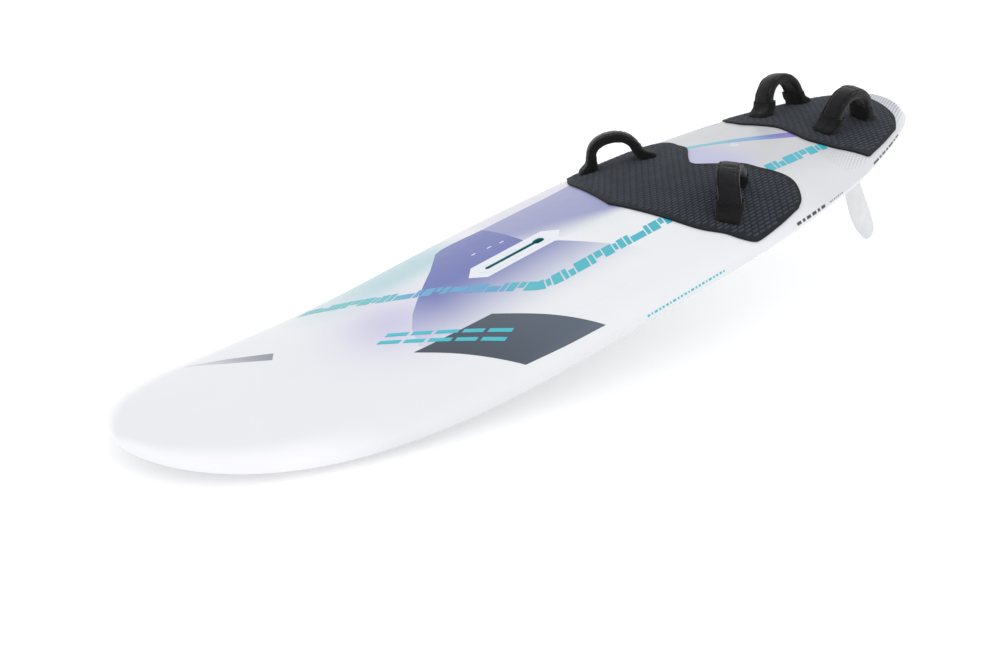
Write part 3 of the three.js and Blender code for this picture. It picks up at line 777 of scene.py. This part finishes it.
# ---- hull ----
def paint_hull(hull):
    """Stores the deck's tints and painted shade above the rail, and the plain hull's colour with its
    painted nose highlight below it.
    """
    places = np.zeros(3 * len(hull.data.vertices), np.float32)
    hull.data.vertices.foreach_get("co", places)
    points = moved(places.reshape(-1, 3), TO_ROW.inverted())
    below = points[:, 2] < rail_height(points[:, 0]) - 0.05
    colours = deck_colour(points[:, :2])
    colours[below] = side_colour_with_painted_highlight(points[below, :2])
    store_paint(hull.data, colours)


def hull_skin():
    stations = np.concatenate([
        np.linspace(0, TAIL_EDGE, 6), np.linspace(20, NOSE_START - 8, 150),
        NOSE_START + (LENGTH - NOSE_START - 0.05) * np.sin(np.linspace(0, math.pi / 2, 90)),
    ])
    half = np.concatenate([np.linspace(0, 1, 56), np.linspace(1, 2, 30)[1:]])
    port = np.array([hull_point(x, half) for x in stations])
    starboard = port[:, -2:0:-1] * [1, -1, 1]
    points, faces = capped(np.concatenate([port, starboard], axis=1))
    hull = new_mesh("hull_skin", points, [face[::-1] for face in faces], lacquer, sharp=50)
    facing_out(hull)
    fin_place = Matrix.Translation((FIN_X, 0, 0))
    cut(hull, [
        bar_cutter(MAST_LENGTH + 2 * GAP, MAST_WIDTH + 2 * GAP, -MAST_HEIGHT, 30,
                   deck_frame(MAST_X, 0)),
        rod_cutter(VENT_RADIUS + GAP, -27, 20, deck_frame(VENT_X, VENT_Y)),
        bar_cutter(FIN_BOX_LENGTH + 2 * GAP, FIN_BOX_WIDTH + 2 * GAP, -20, 53.5, fin_place),
        rod_cutter(FIN_BOSS + GAP, 30, 150, fin_place),
    ])
    paint_hull(hull)
    hull.data.set_sharp_from_angle(angle=math.radians(50))
    placed(hull, stands_for=["deck_shell", "bottom_shell"])


def printed(name, shapes, colour_of, sharp=35):
    """One print made of shapes that stand just proud of the hull."""
    points, faces = joined_shapes(shapes)
    made = new_mesh(name, points, faces, lacquer, sharp=sharp, colours=colour_of(points[:, :2]))
    return placed(made)


def decal(name, outline, colour_of, lift, grid=9.0, holes=()):
    """A print with its rim turned down into the deck."""
    holes = [resample(hole, grid) for hole in holes]
    xy, triangles = filled(resample(np.array(outline, float), grid), grid, holes)
    rim_points, sides = skirt(triangles, len(xy))
    points = np.vstack([on_deck(xy, lift), on_deck(xy[rim_points], lift - PRINT_SKIRT)])
    printed(name, [(points, triangles + sides)], colour_of)


BAND_ROWS = [[(-0.5, 0.5)], [(-0.5, 0.5)], [(-0.5, 0.15)], [(-0.5, 0.5)], [(-0.5, 0.5)],
             [(-0.15, 0.5)], [(-0.5, 0.5)], [(-0.35, 0.35)]]
STROKES = [[(-0.5, -0.2), (0.2, 0.5)]]


def dash_strip(name, centre, width, lengths, gap, slant, colour_of, rows_of=BAND_ROWS, lift=0.5):
    """A row of slanted blocks along a line on the deck."""
    line = resample(np.array(centre, float), 2.0, closed=False)
    places = run_lengths(line)

    def line_point(place):
        return np.array([np.interp(place, places, line[:, k]) for k in (0, 1)])

    def block_point(place, v):
        way = unit(line_point(place + 3) - line_point(place - 3))
        return line_point(place) + v * width * np.array([-way[1], way[0]])

    shapes = []
    reach = slant * width / 2
    at, k = 1 + reach, 0
    while at + lengths[k % len(lengths)] + reach < places[-1]:
        length = lengths[k % len(lengths)]
        for low, high in rows_of[k % len(rows_of)]:
            grid = [block_point(at + u + slant * v * width, v)
                    for v in np.linspace(low, high, 3) for u in np.linspace(0, length, 4)]
            points = np.vstack([on_deck(grid, lift), on_deck(grid, lift - 0.8)])
            shapes.append((points, patch_faces(3, 4)))
        at += length + gap
        k += 1
    printed(name, shapes, colour_of)


def band_colour(xy):
    """Teal, paler towards the nose and bluer over the violet print."""
    x = xy[:, 0]
    colour = blended(srgb(38, 172, 192), srgb(88, 184, 192), step_between(900, 1750, x))
    over_violet = step_between(1400, 1480, x) * (1 - step_between(1590, 1640, x))
    return blended(colour, srgb(92, 150, 204), 0.75 * over_violet)


def line_colour(xy):
    t = step_between(430, 665, xy[:, 0])
    aft = blended(srgb(120, 112, 190), srgb(110, 160, 205), step_between(0.0, 0.5, t))
    return blended(aft, srgb(90, 190, 195), step_between(0.55, 1.0, t))


def slate_colour(xy):
    return blended(srgb(76, 89, 104), srgb(52, 63, 78), step_between(1360, 1720, xy[:, 0]))


BAND_LENGTHS = [26, 12, 16, 38, 14, 20, 28, 10, 18]
BAND_WIDTH, BAND_GAP, BAND_SLANT = 32, 4, 0.4


def prints():
    track_hole = moved(bar_ring(MAST_LENGTH - 6, MAST_WIDTH - 6, 0), deck_frame(MAST_X, 0))[:, :2]
    decal("violet_print", [
        (1450, -178), (1434, -200), (1410, -212), (1375, -214), (1288, -204), (1287, 0), (1240, 38),
        (1164, 150), (1120, 215), (1180, 262), (1330, 268), (1500, 245), (1640, 190), (1700, 130),
        (1675, 66), (1640, 18), (1596, -28), (1500, -120)], violet_colour, 0.18, holes=[track_hole])
    decal("lavender_print", [
        (1288, -204), (1087, -207), (960, -222), (1000, -150), (1020, 0), (1028, 62), (1110, 62),
        (1215, 34), (1287, -10)], lavender_colour, 0.18, holes=[track_hole])
    front = smooth_run([(1360, 320), (1436, 234), (1525, 150)], 6)
    rear = smooth_run([(1720, 138), (1652, 204), (1565, 304)], 6)
    outer = smooth_run([(1565, 304), (1462, 314), (1360, 320)], 6)
    decal("slate_print", np.vstack([rear[:-1], outer[:-1], front]), slate_colour, 0.34)
    decal("mast_print", [(1474, 0), (1444, 33), (1235, 33), (1204, 0), (1235, -33), (1444, -33)],
          plain_colour(srgb(226, 229, 236)), 0.42, 7.0, [track_hole])
    dash_strip("teal_band_front", [
        (1781, -264), (1730, -204), (1647, -110), (1547, -12), (1453, 88), (1410, 130), (1388, 150),
        (1340, 156), (1200, 156), (975, 156)],
        BAND_WIDTH, [*BAND_LENGTHS, 13, 42, 12], BAND_GAP, BAND_SLANT, band_colour)
    dash_strip("teal_band_rear", [(660, 150), (560, 153), (430, 158)],
               BAND_WIDTH, BAND_LENGTHS, BAND_GAP, BAND_SLANT, band_colour)
    line = smooth_run([(668, -108), (580, -38), (500, 25), (436, 68)], 6)
    way = unit(np.gradient(line, axis=0))
    broad = 8 + 9 * step_between(0, 1, np.linspace(0, 1, len(line)))
    side = np.stack([-way[:, 1], way[:, 0]], 1) * broad[:, None]
    decal("gradient_line", np.vstack([line + side, (line - side)[::-1]]), line_colour, 0.34)


hull_skin()
prints()


# ---- mast track ----
def bevelled(obj, width):
    change = obj.modifiers.new("bevel", "BEVEL")
    change.width = width * MM
    change.segments = 2
    change.limit_method = "ANGLE"
    change.angle_limit = math.radians(35)
    applied(obj)
    obj.data.polygons.foreach_set("use_smooth", [True] * len(obj.data.polygons))
    obj.data.set_sharp_from_angle(angle=math.radians(40))
    return obj


def mast_track():
    place = deck_frame(MAST_X, 0)
    points, faces = capped([bar_ring(MAST_LENGTH, MAST_WIDTH, z, 12) for z in (-MAST_HEIGHT, -0.1)])
    track = facing_out(new_mesh("mast_track", moved(points, place), faces, teal_plastic, sharp=0))
    entry = place @ Matrix.Translation(((ENTRY_LENGTH - SLOT_LENGTH) / 2, 0, 0))
    cut(track, [
        bar_cutter(SLOT_LENGTH, SLOT_WIDTH, -SLOT_LIP - 1, 5, place),
        bar_cutter(ENTRY_LENGTH, ENTRY_WIDTH, -SLOT_LIP - 1, 5, entry),
        box_cutter((SLOT_LENGTH, CHANNEL_WIDTH, CHANNEL_HEIGHT),
                   (0, 0, -SLOT_LIP - CHANNEL_HEIGHT / 2), place),
    ])
    placed(bevelled(track, 0.7), stands_for=["mast_track_box"])

    # white cover strip between the print and the slot, with an opening for slot and entry
    outer = resample(bar_ring(MAST_LENGTH + 2, MAST_WIDTH + 2, 0)[:, :2], 6)
    xy, triangles = filled(outer, 6, [resample(slot_outline(), 4)])
    rim_points, sides = skirt(triangles, len(xy))
    heights = np.repeat([0.5, -1.2], [len(xy), len(rim_points)])
    points = moved(np.column_stack([np.vstack([xy, xy[rim_points]]), heights]), place)
    placed(new_mesh("slot_surround", points, triangles + sides, white_plastic))


def slot_outline():
    """The slot with its wide entry, as one outline in the track's frame."""
    slot, entry = SLOT_WIDTH / 2 + 0.5, ENTRY_WIDTH / 2 + 0.5
    low, high = -SLOT_LENGTH / 2 - 0.5, SLOT_LENGTH / 2 + 0.5
    middle = low + ENTRY_LENGTH - entry
    start = math.degrees(math.asin(slot / entry))
    return np.vstack([arc(high - slot, slot, -90, 90, 9), arc(middle, entry, start, 90, 6),
                      arc(low + entry, entry, 90, 270, 13), arc(middle, entry, 270, 360 - start, 6)])


# ---- vent ----
def turned(name, profile, material, sharp=35, count=64):
    """A closed solid of revolution about the vent's axis, from (radius, z) pairs."""
    points = np.vstack([round_ring(radius, z, count) for radius, z in profile])
    last = (len(profile) - 1) * count
    closing = [(last + k, last + (k + 1) % count, (k + 1) % count, k) for k in range(count)]
    points = moved(points, deck_frame(VENT_X, VENT_Y))
    faces = ring_faces(len(profile), count) + closing
    return facing_out(new_mesh(name, points, faces, material, sharp=sharp))


def vent():
    top = -0.3
    seat = top - 4 - 1.4
    rim = VENT_HEAD + GAP

    housing = turned("vent_housing", [
        (rim, seat), (rim, top - 0.8), (rim + 0.8, top), (VENT_RADIUS - 1.2, top + 0.5),
        (VENT_RADIUS - 0.3, top + 0.1), (VENT_RADIUS, top - 1), (VENT_RADIUS, top - 26),
        (3, top - 26), (3, seat - 18), (4.8, seat - 18), (4.8, seat)], pale_plastic)
    placed(housing, stands_for=["vent_body"])

    plug = turned("vent_plug", [
        (0.01, seat - 11), (4.2, seat - 11), (4.5, seat - 10.6), (4.5, top - 4), (VENT_HEAD, top - 4),
        (VENT_HEAD, top - 0.9), (VENT_HEAD - 0.7, top - 0.2), (0.01, top - 0.2)], pale_plastic, 0)
    cut(plug, [box_cutter((14, 2.4, 4), (0, 0, top + 0.6), deck_frame(VENT_X, VENT_Y))])
    placed(bevelled(plug, 0.25), "vent_screw_body", ["vent_screw"])

    middle, tube = 4.8 + 1.2, 0.75
    section = [(middle + tube * math.cos(a), seat + 0.85 + tube * math.sin(a))
               for a in np.linspace(0, 2 * math.pi, 13)[:-1]]
    seal = turned("vent_o_ring", section, rubber)
    placed(seal, "vent_seal_ring", ["vent_seal"])


# ---- fin ----
def fin_blade():
    leading = smooth_run(FIN_LEADING, 12)
    trailing = smooth_run(FIN_TRAILING, 12)
    chords = [(a[0], b[0], (a[1] + b[1]) / 2) for a, b in zip(leading, trailing)]
    chords[0] = (leading[0][0], trailing[0][0], FIN_LEADING[0][1])
    chords += FIN_TIP
    count = 36
    turn = even_turns(count)
    along = (1 - np.cos(turn)) / 2
    camber = np.sign(np.sin(turn)) * (2.969 * np.sqrt(along) - 1.26 * along - 3.516 * along**2
                                      + 2.843 * along**3 - 1.015 * along**4)
    rings = []
    for front, back, z in chords:
        chord = front - back
        width = 0.5 * FIN_THICKNESS * chord
        rings.append(np.stack([front - chord * along, width * camber, np.full(count, z)], 1))
    points, faces = capped(rings)
    blade = facing_out(new_mesh("fin_foil", points, faces, laminate, sharp=60))
    placed(blade, stands_for=["fin_blade"])


# ---- grip pads ----
# a pad's rounded edge: (steps out, heights above the deck), down to its underside
PAD_EDGE = [(0.5, 4.93), (1.1, 4.6), (1.5, 4.0), (PAD_ROUNDING, 3.2), (PAD_ROUNDING, 0.0)]


def pad(name, node, runs, holes=()):
    outline = resample(mirrored_outline(runs, 10), 7)
    top_xy, triangles = filled(inset(outline, PAD_ROUNDING), 11, holes)
    rim = rim_edges(triangles)
    rim_points = [a for a, _ in rim]
    out = np.zeros_like(top_xy)
    for a, b in rim:
        way = unit(top_xy[b] - top_xy[a])
        out[[a, b]] += (way[1], -way[0])
    out = unit(out[rim_points])

    rows = [on_deck(top_xy, GAP + PAD_THICKNESS)]
    faces = list(triangles)
    above, start = {point: point for point in rim_points}, len(top_xy)
    for step, height in PAD_EDGE:
        rows.append(on_deck(top_xy[rim_points] + out * step, GAP + height))
        below = {point: start + k for k, point in enumerate(rim_points)}
        faces += [(above[b], above[a], below[a], below[b]) for a, b in rim]
        above, start = below, start + len(rim_points)
    inner = [point for point in range(len(top_xy)) if point not in above]
    above.update({point: start + k for k, point in enumerate(inner)})
    rows.append(on_deck(top_xy[inner], GAP))
    faces += [tuple(above[point] for point in face[::-1]) for face in triangles]
    # the pad's body takes the darker copy of its foam, a painted shade
    made = new_mesh(name, np.vstack(rows), faces, pad_foam_painted_shade, sharp=0)
    placed(made, stands_for=[node])
    pad_dashes(name + "_grip", inset(outline, DASH_MARGIN), holes)


def pad_dashes(name, inner, holes):
    """Raised dashes in slanted rows, wherever a whole one fits, in the pad's foam made lighter as a
    painted highlight.
    """
    turn = math.radians(DASH_TURN_DEG)
    ways = np.array([[math.cos(turn), math.sin(turn)], [-math.sin(turn), math.cos(turn)]])
    quarter = np.array([[1, 0.55], [0.75, 1]]) * (DASH_LENGTH / 2, DASH_WIDTH / 2)
    corners = np.vstack([quarter, quarter[::-1] * (-1, 1), -quarter, quarter[::-1] * (1, -1)])
    levels = [(1.0, PAD_THICKNESS - 0.6), (1.0, PAD_THICKNESS + 0.35),
              (0.8, PAD_THICKNESS + DASH_HEIGHT)]
    low, high = inner.min(0), inner.max(0)
    row_count = int((high[1] + 400) / DASH_PITCH[1])
    columns = range(int(low[0] / DASH_PITCH[0]) - 12, int(high[0] / DASH_PITCH[0]) + 12)
    shapes = []
    for r in range(-row_count, row_count):
        for c in columns:
            centre = np.array([(c + DASH_SHIFT * r % 1) * DASH_PITCH[0], r * DASH_PITCH[1]]) @ ways
            outer = corners @ ways + centre
            if not inside(outer, inner).all() or any(inside(outer, hole).any() for hole in holes):
                continue
            points, faces = capped([on_deck(corners * scale @ ways + centre, GAP + height)
                                    for scale, height in levels])
            shapes.append((points, faces[:-2] + [faces[-1]]))
    points, faces = joined_shapes(shapes)
    placed(new_mesh(name, points, faces, pad_grip_painted_highlight, sharp=30))


# ---- foot straps ----
def signed_power(value, power):
    return np.sign(value) * np.abs(value) ** power


def arch_point(set_, s):
    """Centre line of the arch: (along the anchor line, up), s from the aft to the fore foot."""
    angle = np.pi * (1 - np.asarray(s, float))
    power = 2 / ARCH_EXPONENT
    high = np.abs(np.sin(angle)) ** power
    reach = (ANCHOR_SPACING / 2 - LEG_INSET) * signed_power(np.cos(angle), power)
    return np.stack([reach + set_["forward"] * high, set_["height"] * high], -1)


def flop(set_, height):
    """How far the port strap has flopped across its band at a height above the anchors."""
    return -set_["inboard"] * (np.maximum(height, 0) / set_["height"]) ** 2


def arch_way(set_, s):
    return unit(arch_point(set_, np.minimum(1, s + 0.004)) - arch_point(set_, np.maximum(0, s - 0.004)))


def cover_section(width, depth, count=44):
    """Rounded band section: (across, out) pairs."""
    turn = even_turns(count)
    return np.stack([width / 2 * signed_power(np.cos(turn), 0.42),
                     depth / 2 * signed_power(np.sin(turn), 0.72)], 1)


def cover_shape(set_):
    """The strap cover in the strap's frame: rings, UVs in centimetres, and its section."""
    stations = np.linspace(0.008, 0.992, 84)
    section = cover_section(COVER_WIDTH - 1, COVER_DEPTH - 1.5)
    centre, way = arch_point(set_, stations), arch_way(set_, stations)
    out = np.stack([-way[:, 1], way[:, 0]], 1)
    length, girth = run_lengths(centre), run_lengths(section)
    rings, uv = [], []
    for k in range(len(stations)):
        waist = 1 - 0.05 * math.sin(math.pi * k / (len(stations) - 1))
        rings.append(np.stack([centre[k, 0] + out[k, 0] * section[:, 1],
                               section[:, 0] * waist + flop(set_, centre[k, 1]),
                               centre[k, 1] + out[k, 1] * section[:, 1]], 1))
        uv += [(g / 10, length[k] / 10) for g in girth]
    return rings, uv, section


CLOTH_STEPS = 20
PUFF_LIMIT = 2.6
CLOTH = dict(quality=6, mass=0.2, tension_stiffness=12, compression_stiffness=12, shear_stiffness=6,
             bending_stiffness=0.6, shrink_min=-0.07, use_pressure=True, uniform_pressure_force=4.0)


def vertex_rows(obj, key="co"):
    return np.array([getattr(v, key) for v in obj.data.vertices])


def strap_form(name, rings, uv, material):
    """A closed loft in the strap's frame, in metres."""
    points, faces = capped(rings)
    return facing_out(new_mesh(name, points, faces, material, TO_METRES, sharp=0, uv=uv))


def puffed(rings, uv, section):
    """The cover after a short cloth run: held along its sewn lines, blown up a little between."""
    made = strap_form("cover_form", rings, uv, knit)
    held = made.vertex_groups.new(name="held")
    for k in range(len(rings) * len(section)):
        ring, place = divmod(k, len(section))
        near_line = abs(abs(section[place, 0]) - SEAM_ACROSS) < 1.6
        if near_line or ring < 2 or ring > len(rings) - 3:
            held.add([k], 1.0, "REPLACE")
    settings = made.modifiers.new("cloth", "CLOTH").settings
    settings.vertex_group_mass = "held"
    settings.effector_weights.gravity = 0
    for key, value in CLOTH.items():
        setattr(settings, key, value)
    for number in range(1, CLOTH_STEPS + 1):
        bpy.context.scene.frame_set(number)
    before = vertex_rows(made)
    applied(made)
    bpy.context.scene.frame_set(1)
    shift = vertex_rows(made) - before
    size = np.linalg.norm(shift, axis=1, keepdims=True)
    after = before + shift * np.minimum(1, PUFF_LIMIT * MM / np.maximum(size, 1e-9))
    made.data.vertices.foreach_set("co", after.astype(np.float32).ravel())
    return made


def strap_piece(form, set_name, side_name, end):
    """A copy of a port strap's form, mirrored for starboard and placed in its strap's frame."""
    mesh = form.data.copy()
    if side_name == "starboard":
        mesh.transform(Matrix.Diagonal((1, -1, 1, 1)))
        mesh.flip_normals()
    made = bpy.data.objects.new(f"{set_name}_{side_name}_{end}", mesh)
    matrix = TO_ROW @ strap_frame(STRAP_SETS[set_name], SIDES[side_name])
    made.matrix_world = matrix @ TO_METRES.inverted()
    bpy.context.scene.collection.objects.link(made)
    bpy.context.view_layer.update()
    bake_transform(made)
    return made


# a sleeve's rings: (height over the anchors, how far it has drawn in from foot to leg)
CUFF_LEVELS = [(-3.0, 0), (0.6, 0), (3.0, 0.02), (6.5, 0.08), (10.0, 0.22), (13.5, 0.46),
               (17.0, 0.68), (21.0, 0.85), (26.0, 0.95), (31.0, 1.0), (35.0, 1.0), (36.6, 1.03),
               (37.0, 0.98), (35.0, 0.9)]
CUFF_SIDES, CUFF_CLEARANCE, CUFF_HEM = 48, 2.2, 1.6
SEAM_RING, MOUTH_RING = 9, 12


def cuff_shape(set_, end):
    """The sleeve at one foot: round the leg above, flared out over the screw below."""
    samples = np.linspace(0, 0.5, 400)
    track = arch_point(set_, 1 - samples if end > 0 else samples)
    foot_out, foot_in = ANCHOR_SPACING / 2 + 17.5, ANCHOR_SPACING / 2 - LEG_INSET - 13.0
    turn = even_turns(CUFF_SIDES)
    rings, uv = [], []
    for row, (level, climb) in enumerate(CUFF_LEVELS):
        leg = np.interp(level, track[:, 1], track[:, 0]) * end
        room = COVER_DEPTH / 2 + CUFF_CLEARANCE
        outer = foot_out + (leg + room - foot_out) * min(climb, 1.0)
        inner = foot_in + (leg - room - foot_in) * min(climb * 1.6, 1.0)
        half = COVER_WIDTH / 2 + 2.4 - 2.0 * (1 - min(climb * 1.3, 1))
        if row >= MOUTH_RING:
            outer, inner, half = outer - CUFF_HEM, inner + CUFF_HEM, half - CUFF_HEM
        crease = 0.5 * np.sin(5 * turn + row * 0.8) * (0.2 < climb < 0.97)
        x = (outer + inner) / 2 + ((outer - inner) / 2 + crease) * signed_power(np.cos(turn), 0.5)
        y = (half + crease) * signed_power(np.sin(turn), 0.5)
        rings.append(np.stack([end * x, y * end + flop(set_, level), np.full(len(turn), level)], 1))
        uv += [(k * 0.4, level / 10) for k in range(len(turn))]
    return rings, uv


def stitch(a, b, out, width=0.45):
    """One stitch from a to b, standing a little out of the cloth."""
    side = unit(np.cross(unit(b - a), out))
    rings = []
    for t, size, lift in ((0.0, 0.35, -0.1), (0.2, 1.0, 0.25), (0.5, 1.1, 0.4), (0.8, 1.0, 0.25),
                          (1.0, 0.35, -0.1)):
        centre = a + (b - a) * t + out * lift
        rings.append([centre + width * size * (side * c + out * s)
                      for c, s in ((1, 0), (0.5, 0.8), (-0.5, 0.8), (-1, 0), (0, -0.8))])
    return capped(rings)


def stitch_row(path, outs, pitch=4.2, length=2.9):
    """Stitches along a path of points, each with its outward direction."""
    places = run_lengths(path)

    def along(values, place):
        return np.array([np.interp(place, places, values[:, k]) for k in range(3)])

    return [stitch(along(path, start), along(path, start + length), unit(along(outs, start)))
            for start in np.arange(1.0, places[-1] - length, pitch)]


def strap_stitches(cover, section, cuff_rings):
    """Two rows of stitches down each face of the cover and one round each sleeve's mouth."""
    grid = (vertex_rows(cover) / MM).reshape(-1, len(section), 3)
    normals = vertex_rows(cover, "normal").reshape(-1, len(section), 3)
    seams = []
    for target in (SEAM_ACROSS, -SEAM_ACROSS):
        for outer in (1, -1):
            fits = [abs(a - target) + (10 if o * outer < 1 else 0) for a, o in section]
            column = int(np.argmin(fits))
            seams += stitch_row(grid[7:-7, column], normals[7:-7, column])
    for rings in cuff_rings:
        level = rings[SEAM_RING]
        closed = np.vstack([level, level[:1]])
        seams += stitch_row(closed, (closed - level.mean(0)) * (1, 1, 0))
    return joined_shapes(seams)


def straps():
    for set_name, set_ in STRAP_SETS.items():
        rings, uv, section = cover_shape(set_)
        cover = puffed(rings, uv, section)
        cuffs = [cuff_shape(set_, end) for end in (1, -1)]
        sleeves = [strap_form("cuff_form", *cuff, sleeve_cloth) for cuff in cuffs]
        points, faces = strap_stitches(cover, section, [rings for rings, _ in cuffs])
        seam = new_mesh("seam_form", points, faces, thread, TO_METRES, sharp=0, uv=points[:, :2] / 10)
        for side_name in SIDES:
            piece = strap_piece(cover, set_name, side_name, "cover")
            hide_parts(f"{set_name}_{side_name}_strap_cover")
            for end, sleeve in zip(("fore", "aft"), sleeves):
                piece = strap_piece(sleeve, set_name, side_name, f"{end}_sleeve")
            strap_piece(seam, set_name, side_name, "stitching")
        for form in (cover, seam, *sleeves):
            bpy.data.objects.remove(form)


mast_track()
vent()
fin_blade()
boss = round_ring(FIN_BOSS + 1, 0, 28)[:, :2] + [FIN_X, 0]
pad("front_deck_pad", "front_pad", FRONT_PAD)
pad("rear_deck_pad", "rear_pad", REAR_PAD, [boss])
straps()


# ---- small prints ----
def rail_point(x, s, lift):
    """A point on the port side of the hull at station x, section place s, out by lift."""
    along = hull_point(x + 1, s) - hull_point(x - 1, s)
    across = hull_point(x, s + 0.004) - hull_point(x, s - 0.004)
    return hull_point(x, s) + lift * unit(np.cross(along, across))


def rail_marks(name, start, end, place, height, lengths, gap, colour):
    """A row of small blocks along the port rail, forward to aft from start to end."""
    shapes = []
    x, k = start, 0
    while x - lengths[k % len(lengths)] > end:
        length = lengths[k % len(lengths)]
        grid = [rail_point(x - u, place + v, lift) for lift in (0.3, -0.4)
                for v in np.linspace(0, height, 3) for u in np.linspace(0, length, 3)]
        shapes.append((grid, patch_faces(3, 3)))
        x -= length + gap
        k += 1
    facing_out(printed(name, shapes, plain_colour(colour)))


def tail_dots():
    """Halftone dots that fade out forwards along both quarters of the tail."""
    pad_edge = inset(mirrored_outline(REAR_PAD, 10), -5)
    circle = round_ring(1, 0, 8)[:, :2]
    faces = [tuple(range(8))] + [((j + 1) % 8, j, 8 + j, 8 + (j + 1) % 8) for j in range(8)]
    shapes = []
    for row, x in enumerate(np.arange(14, 500, 8.0)):
        for y in np.arange(-260, 261, 8.0) + 4 * (row % 2):
            room = half_width(x) - abs(y)
            if room < 12 or inside(np.array([[x, y]]), pad_edge)[0]:
                continue
            quarter = float(step_between(150, 230, abs(y))) if x > 380 else 1.0
            radius = 3.2 * (1 - x / 520) ** 0.5 * min(1.0, room / 30) * quarter
            if radius > 0.55:
                ring = circle * radius + (x, y)
                shapes.append((np.vstack([on_deck(ring, 0.22), on_deck(ring, -0.3)]), faces))
    printed("tail_dots", shapes, plain_colour(srgb(150, 148, 172)), sharp=0)


def small_prints():
    tail_dots()
    rail_marks("rail_marks_teal", 1262, 1012, 0.93, 0.06, [7, 4, 9, 5, 6], 5, TEAL)
    rail_marks("rail_marks_dark", 760, 640, 0.9, 0.09, [16, 9, 16], 7, srgb(58, 60, 68))
    rail_marks("rail_marks_fine", 620, 556, 0.93, 0.04, [6, 4], 4, srgb(120, 122, 130))
    rail_marks("rail_marks_tail", 380, 180, 0.9, 0.08, [34, 12, 22, 12], 8, srgb(66, 68, 76))
    decal("nose_print", [(2084, -202), (2020, -130), (1944, -58), (1928, -86), (2006, -150)],
          nose_colour, 0.3)
    for k, (x, y) in enumerate([(1394, -89), (1352, -83), (1319, -77)]):
        decal(f"slot_mark_{k}", [(x - 6, y - 2), (x + 6, y - 2), (x + 8, y + 2), (x - 4, y + 2)],
              plain_colour(srgb(232, 234, 240)), 0.4, 3.0)
    dash_strip("slate_strokes", [(1748, 44), (1526, 238)], 38, [46, 42, 48, 44, 50], 9, 0.5,
               plain_colour(srgb(58, 182, 198)), STROKES, 0.7)


small_prints()


# ---- studio ----
def studio():
    scene = bpy.context.scene
    corners = [(-1, -1), (1, -1), (1, 1), (-1, 1)]
    shape = bpy.data.meshes.new("floor")
    shape.from_pydata([(x * FLOOR_SIZE, y * FLOOR_SIZE, FLOOR_LEVEL) for x, y in corners], [],
                      [(0, 1, 2, 3)])
    shape.materials.append(floor_look())
    floor = bpy.data.objects.new("floor", shape)
    scene.collection.objects.link(floor)
    world = bpy.data.worlds.new("studio")
    scene.world = world
    world.use_nodes = True
    world.node_tree.nodes["Background"].inputs["Color"].default_value = (1, 1, 1, 1)
    world.node_tree.nodes["Background"].inputs["Strength"].default_value = 1.0
    for name, place, size, power in (("key", (-0.6, 1.8, 3.2), 3.0, 16),
                                     ("side", (2.5, -2.2, 2.2), 2.5, 4)):
        lamp = bpy.data.lights.new(name, "AREA")
        lamp.energy = power
        lamp.size = size
        made = bpy.data.objects.new(name, lamp)
        made.location = place
        made.rotation_euler = (-Vector(place)).to_track_quat("-Z", "Y").to_euler()
        scene.collection.objects.link(made)
    lens = bpy.data.cameras.new("camera")
    lens.lens = CAMERA_LENS
    lens.sensor_width = 36
    camera = bpy.data.objects.new("camera", lens)
    camera.location = CAMERA_PLACE
    camera.rotation_euler = [math.radians(a) for a in CAMERA_TURN_DEG]
    scene.collection.objects.link(camera)
    scene.camera = camera
    scene.view_settings.view_transform = "Standard"


studio()
